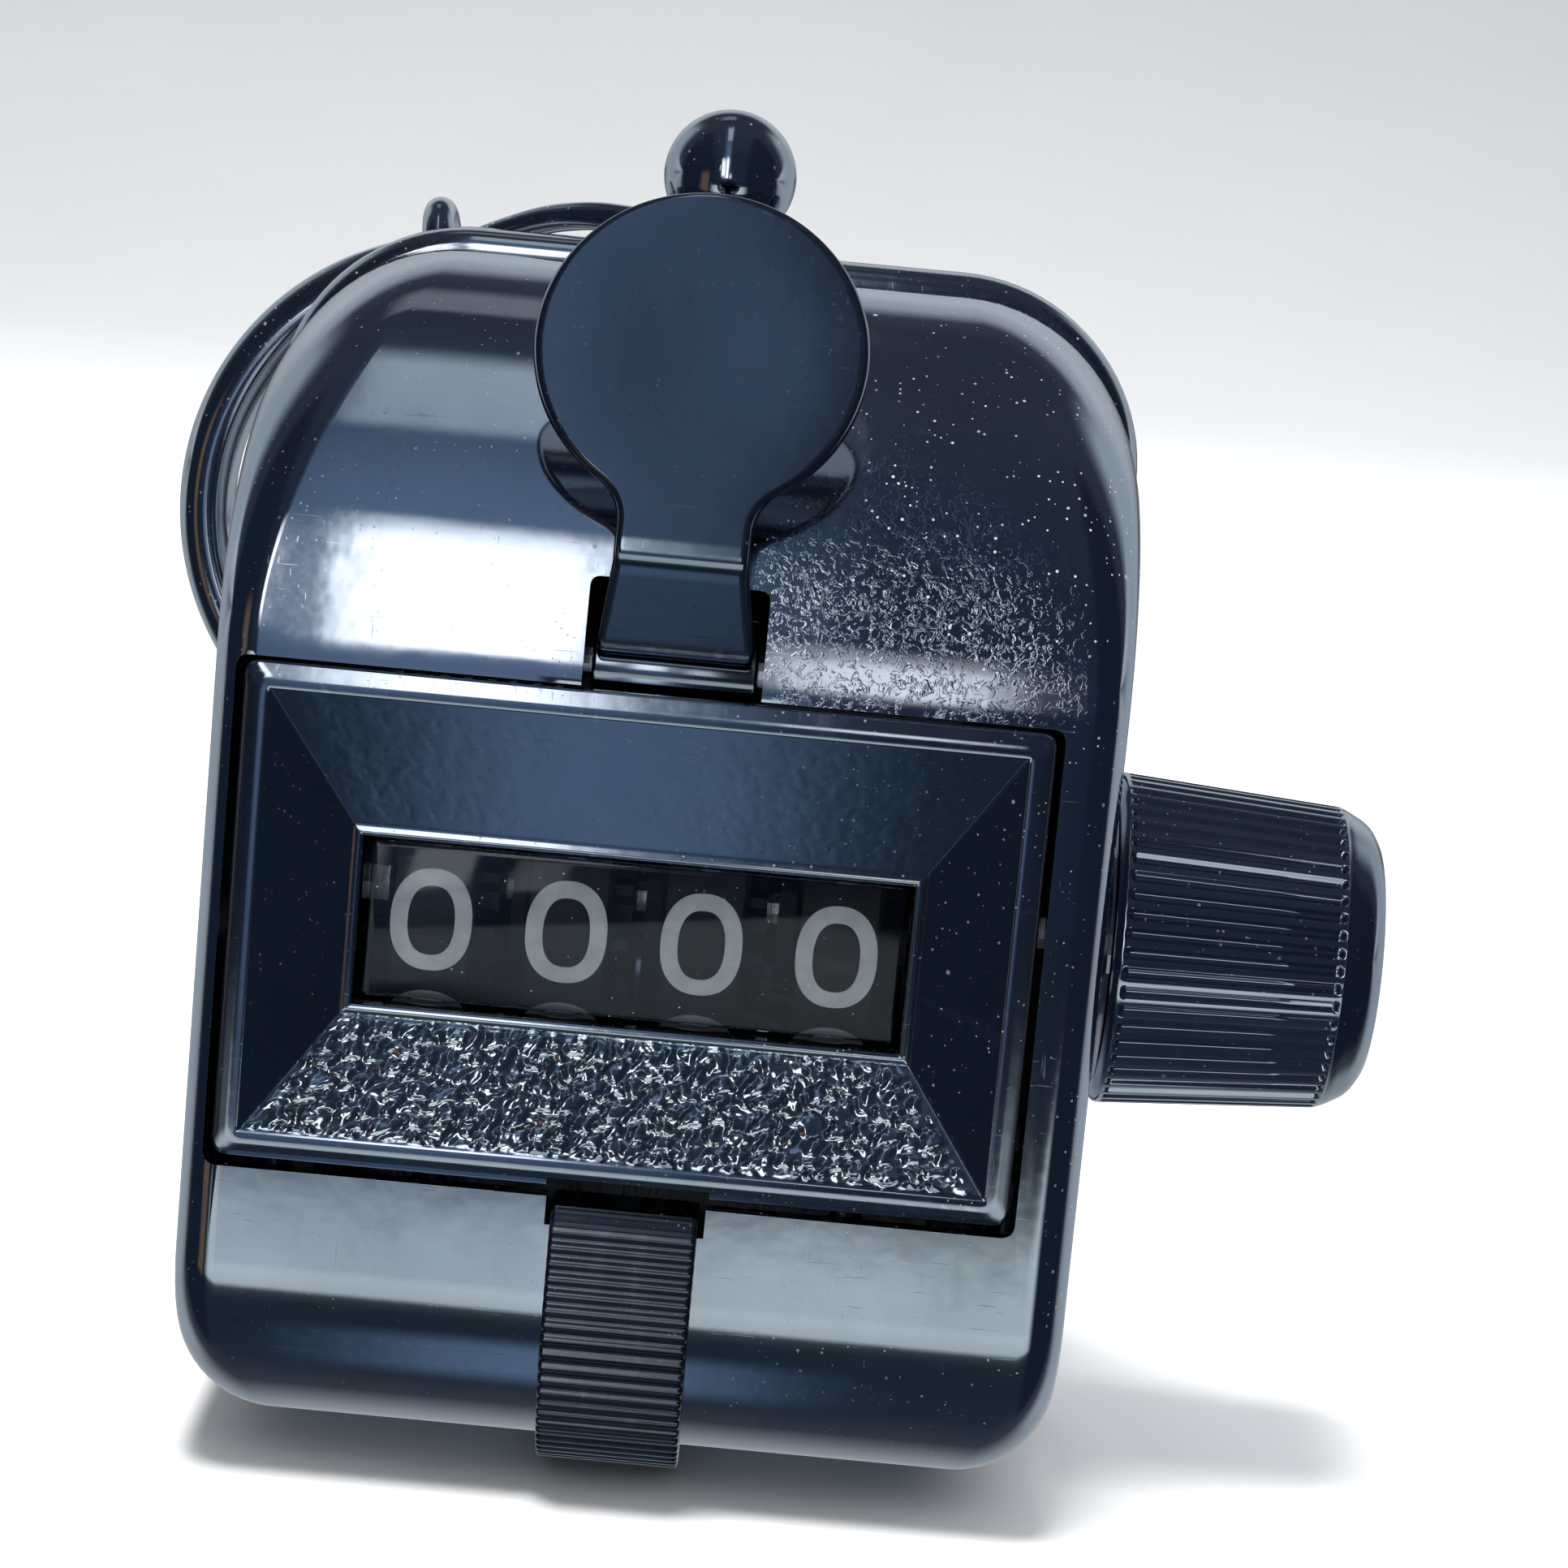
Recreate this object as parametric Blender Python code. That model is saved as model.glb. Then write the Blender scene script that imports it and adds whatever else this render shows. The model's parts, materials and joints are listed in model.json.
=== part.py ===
"""Hand tally counter: chromed case, thumb lever, four number wheels, reset knob and finger ring.

Dimensions are in millimetres and are turned into metres when each mesh is made.
+X points to the reset knob, -Y out of the front face, +Z up. The origin is
below the middle of the case, on the underside of the finger ring's strap.

Spans are (start, end) pairs. HALF_W is a half width in X, HALF_H a half height in Z.
"""

import math

import bmesh
import bpy
from mathutils import Vector

MM = 0.001

# ---- case ----
CASE_HALF_W = 21.5
FRONT_Y = -14.0
PARTING_Y = 8.0            # parting plane of the two shells
BACK_Y = 14.0              # outside of the back cover
CASE_BOTTOM = 1.2
WALL = 1.0
BOTTOM_R = 10.0            # roll of the lower front edge
CROWN_R = 18.3             # roll of the upper front
CROWN_Y = FRONT_Y + CROWN_R
CROWN_Z = 40.7
CASE_TOP = CROWN_Z + CROWN_R
EDGE_FACE = 2.2            # rounding between face and sides
EDGE_BOTTOM = 5.0          # corner radius at the bottom
EDGE_TOP = 9.0             # corner radius at the top
GAP = 0.3                  # clearance between case, bezel and lens

BEAD_OUT, BEAD_RISE = 0.9, 1.5              # rounded bead on the back cover's front rim
COVER_ROLL_Y, COVER_ROLL_IN = 11.2, 2.6     # where the cover's back edge starts to roll in

# ---- window and bezel ----
WINDOW_X = -0.9            # the number window sits left of the middle
OPENING_HALF_W = 19.4
OPENING_BOTTOM, OPENING_TOP = 15.8, 40.4
BEZEL_HALF_W = OPENING_HALF_W - GAP
BEZEL_HALF_H = (OPENING_TOP - OPENING_BOTTOM) / 2 - GAP
BEZEL_Z = (OPENING_TOP + OPENING_BOTTOM) / 2
FUNNEL_HALF_W, FUNNEL_HALF_H = 17.8, 10.6   # wide end of the sloping inner faces
WINDOW_HALF_W, WINDOW_HALF_H, WINDOW_Z = 13.2, 4.1, 27.5
BEZEL_FRONT_Y, BEZEL_RIM_BACK_Y = -13.4, -12.4
WINDOW_FRONT_Y, WINDOW_BACK_Y = -9.9, -9.2

# ---- number wheels and pinions ----
WHEEL_Y, WHEEL_Z = 1.2, 27.7
WHEEL_AXIS = (0, WHEEL_Y, WHEEL_Z)
WHEEL_R, RIM_HALF_W, RIM_CHAMFER = 10.0, 2.1, 0.25
WHEEL_PITCH = 6.55
SHAFT_R = 2.0
RUN = 0.12                 # running clearance
GEAR_TEETH, GEAR_R = 20, 8.0
PINION_TEETH, PINION_R = 8, 3.2
PINION_SHAFT_R = 0.9
TOOTH_ABOVE, TOOTH_BELOW = 0.6, 0.9         # tooth tip and root from the pitch radius
PINION_ANGLE = math.radians(60.0)           # from the wheel axis, +Y towards +Z
PINION_Y = WHEEL_Y + (GEAR_R + PINION_R) * math.cos(PINION_ANGLE)
PINION_Z = WHEEL_Z + (GEAR_R + PINION_R) * math.sin(PINION_ANGLE)
PINION_AXIS = (0, PINION_Y, PINION_Z)

# ---- lever and pawl ----
LEVER_Y, LEVER_Z = -9.5, 41.0
LEVER_AXIS = (0, LEVER_Y, LEVER_Z)
LEVER_SHAFT_R, LEVER_HUB_R = 1.5, 2.5
BEND_Y, BEND_Z = -17.1, 47.1
PAD_TILT = math.radians(24.0)
PAD_DIST, PAD_R = 9.9, 7.75                 # pad centre from the bend, pad radius
ARM_HALF_W, NECK_HALF_W, FLARE_HALF_W = 3.7, 3.1, 4.0
LEVER_T = 1.0
PAWL_Y, PAWL_Z = -5.5, 35.5
PAWL_AXIS = (0, PAWL_Y, PAWL_Z)
PAWL_PIN_R, PAWL_BORE_R = 0.7, 0.85

# ---- finger ring ----
STRAP_HALF_W, STRAP_T = 3.5, 0.8
LOOP_Y, LOOP_R = 27.5, 12.8
LOOP_Z = LOOP_R + STRAP_T / 2
STRAP_BACK_Y, STRAP_TOP = 14.7, 45.2        # upright leg behind the case
STRAP_FILLET = 6.0                          # between the loop and the upright leg
HOOK_R, HOOK_TOP = 0.8, 15.1                # strap's front end, bent into the case
HOOK_TIP_YS = (-11.6, -13.6)
RIVET_ZS = (35.0, 42.0)
RIVET_HOLE_R = 1.5

# ---- lanyard ----
STUD_Y, STUD_NECK_R, STUD_HOLE_R = 10.0, 1.25, 1.5
BALL_Z, BALL_R = 63.7, 3.4
RING_X, RING_Y, RING_Z = -13.2, 18.5, 43.9
RING_R, RING_WIRE_R = 13.7, 1.5
EYE_ANGLE = math.radians(98.0)              # place of the link's eye around the ring
EYE_R, EYE_WIRE_R = 2.7, 0.85

# ---- frame ----
PLATE_SPAN = (15.5, 16.5)
FRAME_ROD_Y, FRAME_ROD_ZS = 8.0, (10.0, 50.0)
SCREW_XS = (-11.0, 11.0)

# ---- finishes ----
CHROME = dict(color=(0.62, 0.65, 0.70), metallic=1.0, roughness=0.06)
STEEL = dict(color=(0.55, 0.56, 0.58), metallic=1.0, roughness=0.35)
BRASS = dict(color=(0.75, 0.60, 0.30), metallic=1.0, roughness=0.30)
BLACK = dict(color=(0.012, 0.012, 0.014), metallic=0.0, roughness=0.35)
CLEAR = dict(color=(0.85, 0.90, 0.95), metallic=0.0, roughness=0.05, alpha=0.3)
SPRING = dict(color=(0.45, 0.45, 0.47), metallic=1.0, roughness=0.30)


# ---------------------------------------------------------------- objects
def material(name, color, metallic, roughness, alpha=1.0):
    mat = bpy.data.materials.new(name)
    mat.use_nodes = True
    inputs = mat.node_tree.nodes["Principled BSDF"].inputs
    inputs["Base Color"].default_value = (*color, 1.0)
    inputs["Metallic"].default_value = metallic
    inputs["Roughness"].default_value = roughness
    inputs["Alpha"].default_value = alpha
    return mat


def mesh_object(name, bm, origin=(0.0, 0.0, 0.0)):
    """Link an object made from a bmesh in millimetres, with its origin at a given point."""
    bmesh.ops.recalc_face_normals(bm, faces=bm.faces)
    origin = Vector(origin)
    for vert in bm.verts:
        vert.co = (vert.co - origin) * MM
    mesh = bpy.data.meshes.new(name)
    bm.to_mesh(mesh)
    bm.free()
    ob = bpy.data.objects.new(name, mesh)
    ob.location = origin * MM
    bpy.context.scene.collection.objects.link(ob)
    return ob


def shade(mesh):
    mesh.shade_smooth()
    mesh.set_sharp_from_angle(angle=math.radians(30))


def make(name, bm, finish, origin=(0.0, 0.0, 0.0)):
    ob = mesh_object(name, bm, origin)
    shade(ob.data)
    ob.data.materials.append(material(name + "_finish", **finish))
    return ob


def boolean(ob, bm, operation):
    tool = mesh_object("cutter", bm)
    mod = ob.modifiers.new("cut", "BOOLEAN")
    mod.operation = operation
    mod.solver = "EXACT"
    mod.object = tool
    bpy.context.view_layer.update()
    depsgraph = bpy.context.evaluated_depsgraph_get()
    result = bpy.data.meshes.new_from_object(ob.evaluated_get(depsgraph))
    ob.modifiers.clear()
    old = ob.data
    name = old.name
    ob.data = result
    bpy.data.meshes.remove(old)
    result.name = name
    tool_mesh = tool.data
    bpy.data.objects.remove(tool, do_unlink=True)
    bpy.data.meshes.remove(tool_mesh)
    shade(result)


def cut(ob, bm):
    boolean(ob, bm, "DIFFERENCE")


def join(ob, bm):
    boolean(ob, bm, "UNION")


# ---------------------------------------------------------------- shapes
def loft(rings, closed=False):
    """Skin a row of rings that have the same number of points."""
    bm = bmesh.new()
    rows = [[bm.verts.new(p) for p in ring] for ring in rings]
    count = len(rows[0])
    for i in range(len(rows) if closed else len(rows) - 1):
        a, b = rows[i], rows[(i + 1) % len(rows)]
        for j in range(count):
            k = (j + 1) % count
            bm.faces.new((a[j], a[k], b[k], b[j]))
    if not closed:
        bm.faces.new(list(reversed(rows[0])))
        bm.faces.new(rows[-1])
    return bm


def box(x0, x1, y0, y1, z0, z1):
    return loft([[(x0, y0, z), (x1, y0, z), (x1, y1, z), (x0, y1, z)] for z in (z0, z1)])


# turning axis, then the two directions across it
AXES = {
    "X": ((1, 0, 0), (0, 1, 0), (0, 0, 1)),
    "Y": ((0, 1, 0), (0, 0, 1), (1, 0, 0)),
    "Z": ((0, 0, 1), (1, 0, 0), (0, 1, 0)),
}


def lathe(profile, axis, centre, seg=24, closed=False, bm=None):
    """Turn (position along the axis, radius) points about an axis through centre."""
    bm = bm or bmesh.new()
    along, across, up = (Vector(v) for v in AXES[axis])
    centre = Vector(centre)
    rows = []
    for pos, radius in profile:
        middle = centre + along * pos
        if radius < 1e-6:
            rows.append([bm.verts.new(middle)])
            continue
        angles = [2 * math.pi * i / seg for i in range(seg)]
        rows.append([
            bm.verts.new(middle + (across * math.cos(t) + up * math.sin(t)) * radius)
            for t in angles
        ])
    pairs = list(zip(rows, rows[1:]))
    if closed:
        pairs.append((rows[-1], rows[0]))
    for a, b in pairs:
        for j in range(seg):
            k = (j + 1) % seg
            if len(a) == 1:
                bm.faces.new((a[0], b[k], b[j]))
            elif len(b) == 1:
                bm.faces.new((a[j], a[k], b[0]))
            else:
                bm.faces.new((a[j], a[k], b[k], b[j]))
    return bm


def rod(axis, centre, radius, span, seg=24, bm=None, chamfer=0.0):
    start, end = span
    if chamfer:
        profile = [
            (start, 0), (start, radius - chamfer), (start + chamfer, radius),
            (end - chamfer, radius), (end, radius - chamfer), (end, 0),
        ]
    else:
        profile = [(start, 0), (start, radius), (end, radius), (end, 0)]
    return lathe(profile, axis, centre, seg, bm=bm)


def prism(outline, span, x=0.0):
    """Extrude a (y, z) outline along X over a span measured from x."""
    return loft([[(x + end, y, z) for y, z in outline] for end in span])


def sweep(path, radius, sides):
    """Round wire along a path."""
    pts = [Vector(p) for p in path]
    last = len(pts) - 1
    tangents = [(pts[min(i + 1, last)] - pts[max(i - 1, 0)]).normalized() for i in range(last + 1)]
    first = tangents[0]
    ref = Vector((0, 0, 1)) if abs(first.z) < 0.9 else Vector((0, 1, 0))
    normal = (ref - first * ref.dot(first)).normalized()
    angles = [2 * math.pi * k / sides for k in range(sides)]
    rings = []
    for p, tangent in zip(pts, tangents):
        normal = (normal - tangent * normal.dot(tangent)).normalized()
        side = tangent.cross(normal)
        rings.append([p + (normal * math.cos(a) + side * math.sin(a)) * radius for a in angles])
    return loft(rings)


def bent_plate(stations, thickness, x=0.0):
    """Flat strip along a centreline of (y, z, half width) stations, mitred at the bends."""
    pts = [Vector((0, y, z)) for y, z, _ in stations]
    steps = [(b - a).normalized() for a, b in zip(pts, pts[1:])]
    rings = []
    for i, (p, (_, _, half_w)) in enumerate(zip(pts, stations)):
        before = steps[max(i - 1, 0)]
        after = steps[min(i, len(steps) - 1)]
        mid = (before + after).normalized()
        normal = Vector((0, -mid.z, mid.y)) / mid.dot(before)
        u, v = p + normal * thickness / 2, p - normal * thickness / 2
        rings.append([
            (x - half_w, u.y, u.z), (x + half_w, u.y, u.z),
            (x + half_w, v.y, v.z), (x - half_w, v.y, v.z),
        ])
    return loft(rings)


def torus(centre, axis, radius, wire_r, seg, sides):
    """Closed round-wire ring about an axis given as a vector."""
    centre, axis = Vector(centre), Vector(axis).normalized()
    u = axis.orthogonal().normalized()
    w = axis.cross(u)
    rings = []
    for i in range(seg):
        a = 2 * math.pi * i / seg
        radial = u * math.cos(a) + w * math.sin(a)
        rings.append([
            centre + radial * (radius + wire_r * math.cos(b)) + axis * wire_r * math.sin(b)
            for b in (2 * math.pi * k / sides for k in range(sides))
        ])
    return loft(rings, closed=True)


def polar(y, z, radius, angle):
    return y + radius * math.cos(angle), z + radius * math.sin(angle)


def arc(y, z, radius, start, end, steps):
    """(y, z) points on an arc, angles in degrees from +Y towards +Z."""
    return [
        polar(y, z, radius, math.radians(start + (end - start) * i / steps))
        for i in range(steps + 1)
    ]


def toothed_outline(teeth, tooth, y, z, phase=0.0):
    """Repeat a tooth of (fraction of the tooth pitch, radius) points round a centre."""
    step = 2 * math.pi / teeth
    return [
        polar(y, z, radius, phase + i * step + fraction * step)
        for i in range(teeth)
        for fraction, radius in tooth
    ]


def gear_outline(teeth, pitch_r, y, z, phase):
    """External spur gear with thin teeth for wide backlash."""
    tip, root = pitch_r + TOOTH_ABOVE, pitch_r - TOOTH_BELOW
    tooth = [(-0.30, root), (-0.17, pitch_r), (-0.09, tip), (0.09, tip), (0.17, pitch_r), (0.30, root)]
    return toothed_outline(teeth, tooth, y, z, phase)


def coil_path(y, z, radius, span, turns, per_turn, start, legs):
    """Coil along X between two straight legs whose ends lie at heights legs from z."""
    x0, x1 = span
    leg_y = y + radius * math.cos(start)
    count = turns * per_turn
    path = [(x0, leg_y, z + legs[0])]
    for i in range(count + 1):
        angle = start + 2 * math.pi * i / per_turn
        path.append((x0 + (x1 - x0) * i / count, *polar(y, z, radius, angle)))
    path.append((x1, leg_y, z + legs[1]))
    return path


# ---------------------------------------------------------------- case
def shell_stations(inset):
    """Side profile from the parting plane under the case round to the one on top:
    y, z, outward normal y and z, rounding radius of the side edges."""
    out = [(PARTING_Y, CASE_BOTTOM + inset, 0.0, -1.0, EDGE_BOTTOM)]
    for i in range(9):
        f = i / 8
        a = math.radians(270 - 90 * f)
        y, z = polar(FRONT_Y + BOTTOM_R, CASE_BOTTOM + BOTTOM_R, BOTTOM_R - inset, a)
        edge = EDGE_BOTTOM + (EDGE_FACE - EDGE_BOTTOM) * f
        out.append((y, z, math.cos(a), math.sin(a), edge))
    for i in range(15):
        f = i / 14
        a = math.radians(180 - 90 * f)
        y, z = polar(CROWN_Y, CROWN_Z, CROWN_R - inset, a)
        edge = EDGE_FACE + (EDGE_TOP - EDGE_FACE) * f * f * (3 - 2 * f)
        out.append((y, z, math.cos(a), math.sin(a), edge))
    out.append((PARTING_Y, CASE_TOP - inset, 0.0, 1.0, EDGE_TOP))
    return out


def shell_section(station, inset, steps=6):
    """Points across the shell at a station, from -X to +X, with rounded ends."""
    y, z, normal_y, normal_z, edge = station
    radius = edge - inset
    half = []
    for i in range(steps + 1):
        a = math.radians(90 * i / steps)
        x = CASE_HALF_W - inset - radius + radius * math.sin(a)
        half.append((x, radius * (1 - math.cos(a))))
    pts = [(-x, depth) for x, depth in reversed(half)] + half
    return [(x, y - normal_y * depth, z - normal_z * depth) for x, depth in pts]


def build_front_shell():
    bm = bmesh.new()
    outer, inner = (
        [[bm.verts.new(p) for p in shell_section(st, inset)] for st in shell_stations(inset)]
        for inset in (0.0, WALL)
    )
    columns = len(outer[0])
    for grid, turn in ((outer, 1), (inner, -1)):
        for a, b in zip(grid, grid[1:]):
            for j in range(columns - 1):
                bm.faces.new((a[j], a[j + 1], b[j + 1], b[j])[::turn])
        bm.faces.new([row[0] for row in grid][::turn])
        bm.faces.new([row[-1] for row in grid][::-turn])
    # rim on the parting plane
    for row in (0, -1):
        a, b = outer[row], inner[row]
        for j in range(columns - 1):
            bm.faces.new((a[j], a[j + 1], b[j + 1], b[j]))
    for col in (0, -1):
        bm.faces.new((outer[0][col], outer[-1][col], inner[-1][col], inner[0][col]))
    ob = make("front_shell", bm, CHROME)

    cut_y = FRONT_Y - 2
    lever_half_w, lever_slot_top = 4.2, 45.2
    hook_half_w = STRAP_HALF_W + 0.3
    shaft_hole_r = 3.0
    cut(ob, box(WINDOW_X - OPENING_HALF_W, WINDOW_X + OPENING_HALF_W, cut_y, -10.5,
                OPENING_BOTTOM, OPENING_TOP))
    cut(ob, box(-lever_half_w, lever_half_w, cut_y, -10.0, OPENING_TOP - 0.5, lever_slot_top))
    cut(ob, box(-hook_half_w, hook_half_w, cut_y, -11.0,
                OPENING_BOTTOM - 1.4, OPENING_BOTTOM + 0.5))
    cut(ob, rod("X", WHEEL_AXIS, shaft_hole_r, (19.5, 23.0)))


def cover_outline(grow, y, steps=7):
    """Case outline at depth y, grown by an amount; the underside only moves inwards."""
    half_w, bottom, top = CASE_HALF_W + grow, CASE_BOTTOM - min(grow, 0.0), CASE_TOP + grow
    low_r, high_r = EDGE_BOTTOM + grow, EDGE_TOP + grow
    corners = (
        (half_w - low_r, bottom + low_r, low_r, -90),
        (half_w - high_r, top - high_r, high_r, 0),
        (-half_w + high_r, top - high_r, high_r, 90),
        (-half_w + low_r, bottom + low_r, low_r, 180),
    )
    return [
        (x, y, z)
        for centre_x, centre_z, radius, start in corners
        for x, z in arc(centre_x, centre_z, radius, start, start + 90, steps)
    ]


def build_back_cover():
    """Shallow pan with a proud rounded bead along its front rim."""
    rim_y = PARTING_Y + GAP
    # inside of the pan: growth, y
    stations = [(-3.4, 13.0), (-2.4, 12.8), (-WALL, COVER_ROLL_Y), (-WALL, rim_y), (0.0, rim_y)]
    for i in range(1, 6):
        a = math.radians(90 * i / 5)
        stations.append((BEAD_OUT * math.sin(a), rim_y + BEAD_RISE * (1 - math.cos(a))))
    for i in range(7):
        a = math.radians(90 * i / 6)
        stations.append((BEAD_OUT - COVER_ROLL_IN * (1 - math.cos(a)),
                         COVER_ROLL_Y + (BACK_Y - COVER_ROLL_Y) * math.sin(a)))
    ob = make("back_cover", loft([cover_outline(grow, y) for grow, y in stations]), CHROME)
    screw_hole_r = 1.2
    holes = bmesh.new()
    for x in SCREW_XS:
        for z in FRAME_ROD_ZS:
            rod("Y", (x, 0, z), screw_hole_r, (12, 15), 20, bm=holes)
    for z in RIVET_ZS:
        rod("Y", (0, 0, z), RIVET_HOLE_R, (12, 15), 20, bm=holes)
    rod("Z", (0, STUD_Y, 0), STUD_HOLE_R, (57, 61), 20, bm=holes)
    cut(ob, holes)


def window_rect(half_w, half_h, y, z):
    return [
        (WINDOW_X + side * half_w, y, z + end * half_h)
        for side, end in ((-1, -1), (1, -1), (1, 1), (-1, 1))
    ]


def build_bezel():
    # half width, half height, y, centre z
    stations = [
        (BEZEL_HALF_W, BEZEL_HALF_H, BEZEL_RIM_BACK_Y, BEZEL_Z),
        (BEZEL_HALF_W, BEZEL_HALF_H, BEZEL_FRONT_Y, BEZEL_Z),
        (FUNNEL_HALF_W, FUNNEL_HALF_H, BEZEL_FRONT_Y, BEZEL_Z),
        (WINDOW_HALF_W, WINDOW_HALF_H, WINDOW_FRONT_Y, WINDOW_Z),
        (WINDOW_HALF_W, WINDOW_HALF_H, WINDOW_BACK_Y, WINDOW_Z),
        (WINDOW_HALF_W + 1.1, WINDOW_HALF_H + 1.1, WINDOW_BACK_Y, WINDOW_Z),
        (FUNNEL_HALF_W + 0.3, FUNNEL_HALF_H + 0.3, BEZEL_RIM_BACK_Y, BEZEL_Z),
    ]
    ob = make("window_bezel", loft([window_rect(*st) for st in stations], closed=True), CHROME)
    # notch for the strap's hooked end
    notch_half_w, notch_top = 3.9, 16.5
    cut(ob, box(-notch_half_w, notch_half_w, -14, -12.0, OPENING_BOTTOM - 1, notch_top))


def build_lens():
    half_w, half_h = WINDOW_HALF_W - GAP, WINDOW_HALF_H - GAP
    # edge inset, y
    stations = [(0.15, -9.8), (0, -9.65), (0, WINDOW_BACK_Y)]
    rings = [window_rect(half_w - inset, half_h - inset, y, WINDOW_Z) for inset, y in stations]
    make("window_lens", loft(rings), CLEAR)


# ---------------------------------------------------------------- lever
def lever_stations():
    """Side view centreline of the lever plate: y, z, half width."""
    out = [
        (LEVER_Y - 1.6, LEVER_Z + 0.7, ARM_HALF_W),
        (-13.6, 42.3, ARM_HALF_W),
        (BEND_Y + 0.25, BEND_Z - 0.45, NECK_HALF_W),
        (BEND_Y + 0.1, BEND_Z + 0.25, NECK_HALF_W),
    ]
    # distance beyond the bend, half width
    pad = [(PAD_DIST - 6.7, FLARE_HALF_W)]
    for degrees in range(50, 180, 10):
        a = math.radians(degrees)
        pad.append((PAD_DIST - PAD_R * math.cos(a), PAD_R * math.sin(a)))
    pad.append((PAD_DIST + PAD_R * 0.998, 0.5))
    for dist, half_w in pad:
        y, z = BEND_Y + math.sin(PAD_TILT) * dist, BEND_Z + math.cos(PAD_TILT) * dist
        out.append((y, z, half_w))
    return out


def build_thumb_lever():
    ob = make("thumb_lever", bent_plate(lever_stations(), LEVER_T), CHROME, LEVER_AXIS)
    join(ob, rod("X", LEVER_AXIS, LEVER_HUB_R, (-3.9, 3.9)))
    cut(ob, rod("X", LEVER_AXIS, LEVER_SHAFT_R + RUN, (-6, 6)))


def build_drive_arm():
    """Hub on the lever shaft with a tapered arm down to the pawl."""
    lever_end_r, pawl_end_r = 2.9, 1.9
    ob = make("drive_arm", rod("X", LEVER_AXIS, LEVER_HUB_R, (4.3, 13.5)), STEEL, LEVER_AXIS)
    lean = math.degrees(math.atan2(PAWL_Z - LEVER_Z, PAWL_Y - LEVER_Y))
    outline = arc(LEVER_Y, LEVER_Z, lever_end_r, lean + 90, lean + 270, 8)
    outline += arc(PAWL_Y, PAWL_Z, pawl_end_r, lean - 90, lean + 90, 8)
    join(ob, prism(outline, (12.7, 13.6)))
    bores = rod("X", LEVER_AXIS, LEVER_SHAFT_R + RUN, (3, 15))
    rod("X", PAWL_AXIS, PAWL_BORE_R, (11, 15), 16, bm=bores)
    cut(ob, bores)


def build_pawl():
    pin = rod("X", PAWL_AXIS, PAWL_PIN_R, (11.3, 15.1), 16, chamfer=0.15)
    make("pawl_pivot_pin", pin, STEEL, LEVER_AXIS)
    head_r = 1.6
    tip = [(-4.6, 32.9), (-3.3, 32.2), (-3.1, 32.7)]    # y, z
    outline = arc(PAWL_Y, PAWL_Z, head_r, -10, 240, 12) + tip
    ob = make("drive_pawl", prism(outline, (11.4, 12.4)), STEEL, PAWL_AXIS)
    cut(ob, rod("X", PAWL_AXIS, PAWL_BORE_R, (10, 13), 16))


def build_lever_springs():
    path = coil_path(PAWL_Y, PAWL_Z, radius=1.3, span=(13.95, 14.9), turns=3, per_turn=12,
                     start=math.pi, legs=(-3.0, 2.6))
    make("pawl_spring", sweep(path, radius=0.14, sides=5), SPRING, PAWL_AXIS)
    path = coil_path(LEVER_Y, LEVER_Z, radius=2.2, span=(-13.4, -4.8), turns=8, per_turn=10,
                     start=0.0, legs=(-3.2, 2.8))
    make("lever_return_spring", sweep(path, radius=0.32, sides=5), SPRING, LEVER_AXIS)


def build_lever_shaft():
    shaft = rod("X", LEVER_AXIS, LEVER_SHAFT_R, (-17.3, 17.3), chamfer=0.3)
    make("lever_shaft", shaft, STEEL, LEVER_AXIS)


# ---------------------------------------------------------------- number wheels
# X spans from the middle of a wheel's rim
GEAR_SPAN = (1.8, 3.0)
RATCHET_SPAN = (1.8, 3.5)
CARRY_SPAN = (-2.95, -1.8)
PINION_SPAN = (2.3, 4.2)


def wheel_x(index):
    return WINDOW_X + (index - 1.5) * WHEEL_PITCH


def ratchet_outline():
    tip, root = 5.5, 4.6
    tooth = [(0.0, root), (0.45, (tip + root) / 2), (0.86, tip), (0.94, tip)]
    return toothed_outline(10, tooth, WHEEL_Y, WHEEL_Z)


def carry_outline():
    """Locking disc with one short carry tooth pair and a notch between, at the top."""
    disc_r, tooth_r, notch_depth = 6.7, 7.05, 0.9
    radii = [disc_r] * 40
    radii[9:12] = [tooth_r, disc_r - notch_depth, tooth_r]
    return [polar(WHEEL_Y, WHEEL_Z, r, 2 * math.pi * i / 40) for i, r in enumerate(radii)]


def build_wheels():
    """The units wheel carries the ratchet; each of the others has a gear on its +X side."""
    names = ("thousands_wheel", "hundreds_wheel", "tens_wheel", "units_wheel")
    gear = gear_outline(GEAR_TEETH, GEAR_R, WHEEL_Y, WHEEL_Z, PINION_ANGLE)
    for i, name in enumerate(names):
        x = wheel_x(i)
        centre = (x, WHEEL_Y, WHEEL_Z)
        rim = rod("X", centre, WHEEL_R, (-RIM_HALF_W, RIM_HALF_W), 48, chamfer=RIM_CHAMFER)
        ob = make(name, rim, BLACK, centre)
        if i < 3:
            join(ob, prism(gear, GEAR_SPAN, x))
        else:
            join(ob, prism(ratchet_outline(), RATCHET_SPAN, x))
        if i > 0:
            join(ob, prism(carry_outline(), CARRY_SPAN, x))
        cut(ob, rod("X", centre, SHAFT_R + RUN, (-8, 8)))


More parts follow.
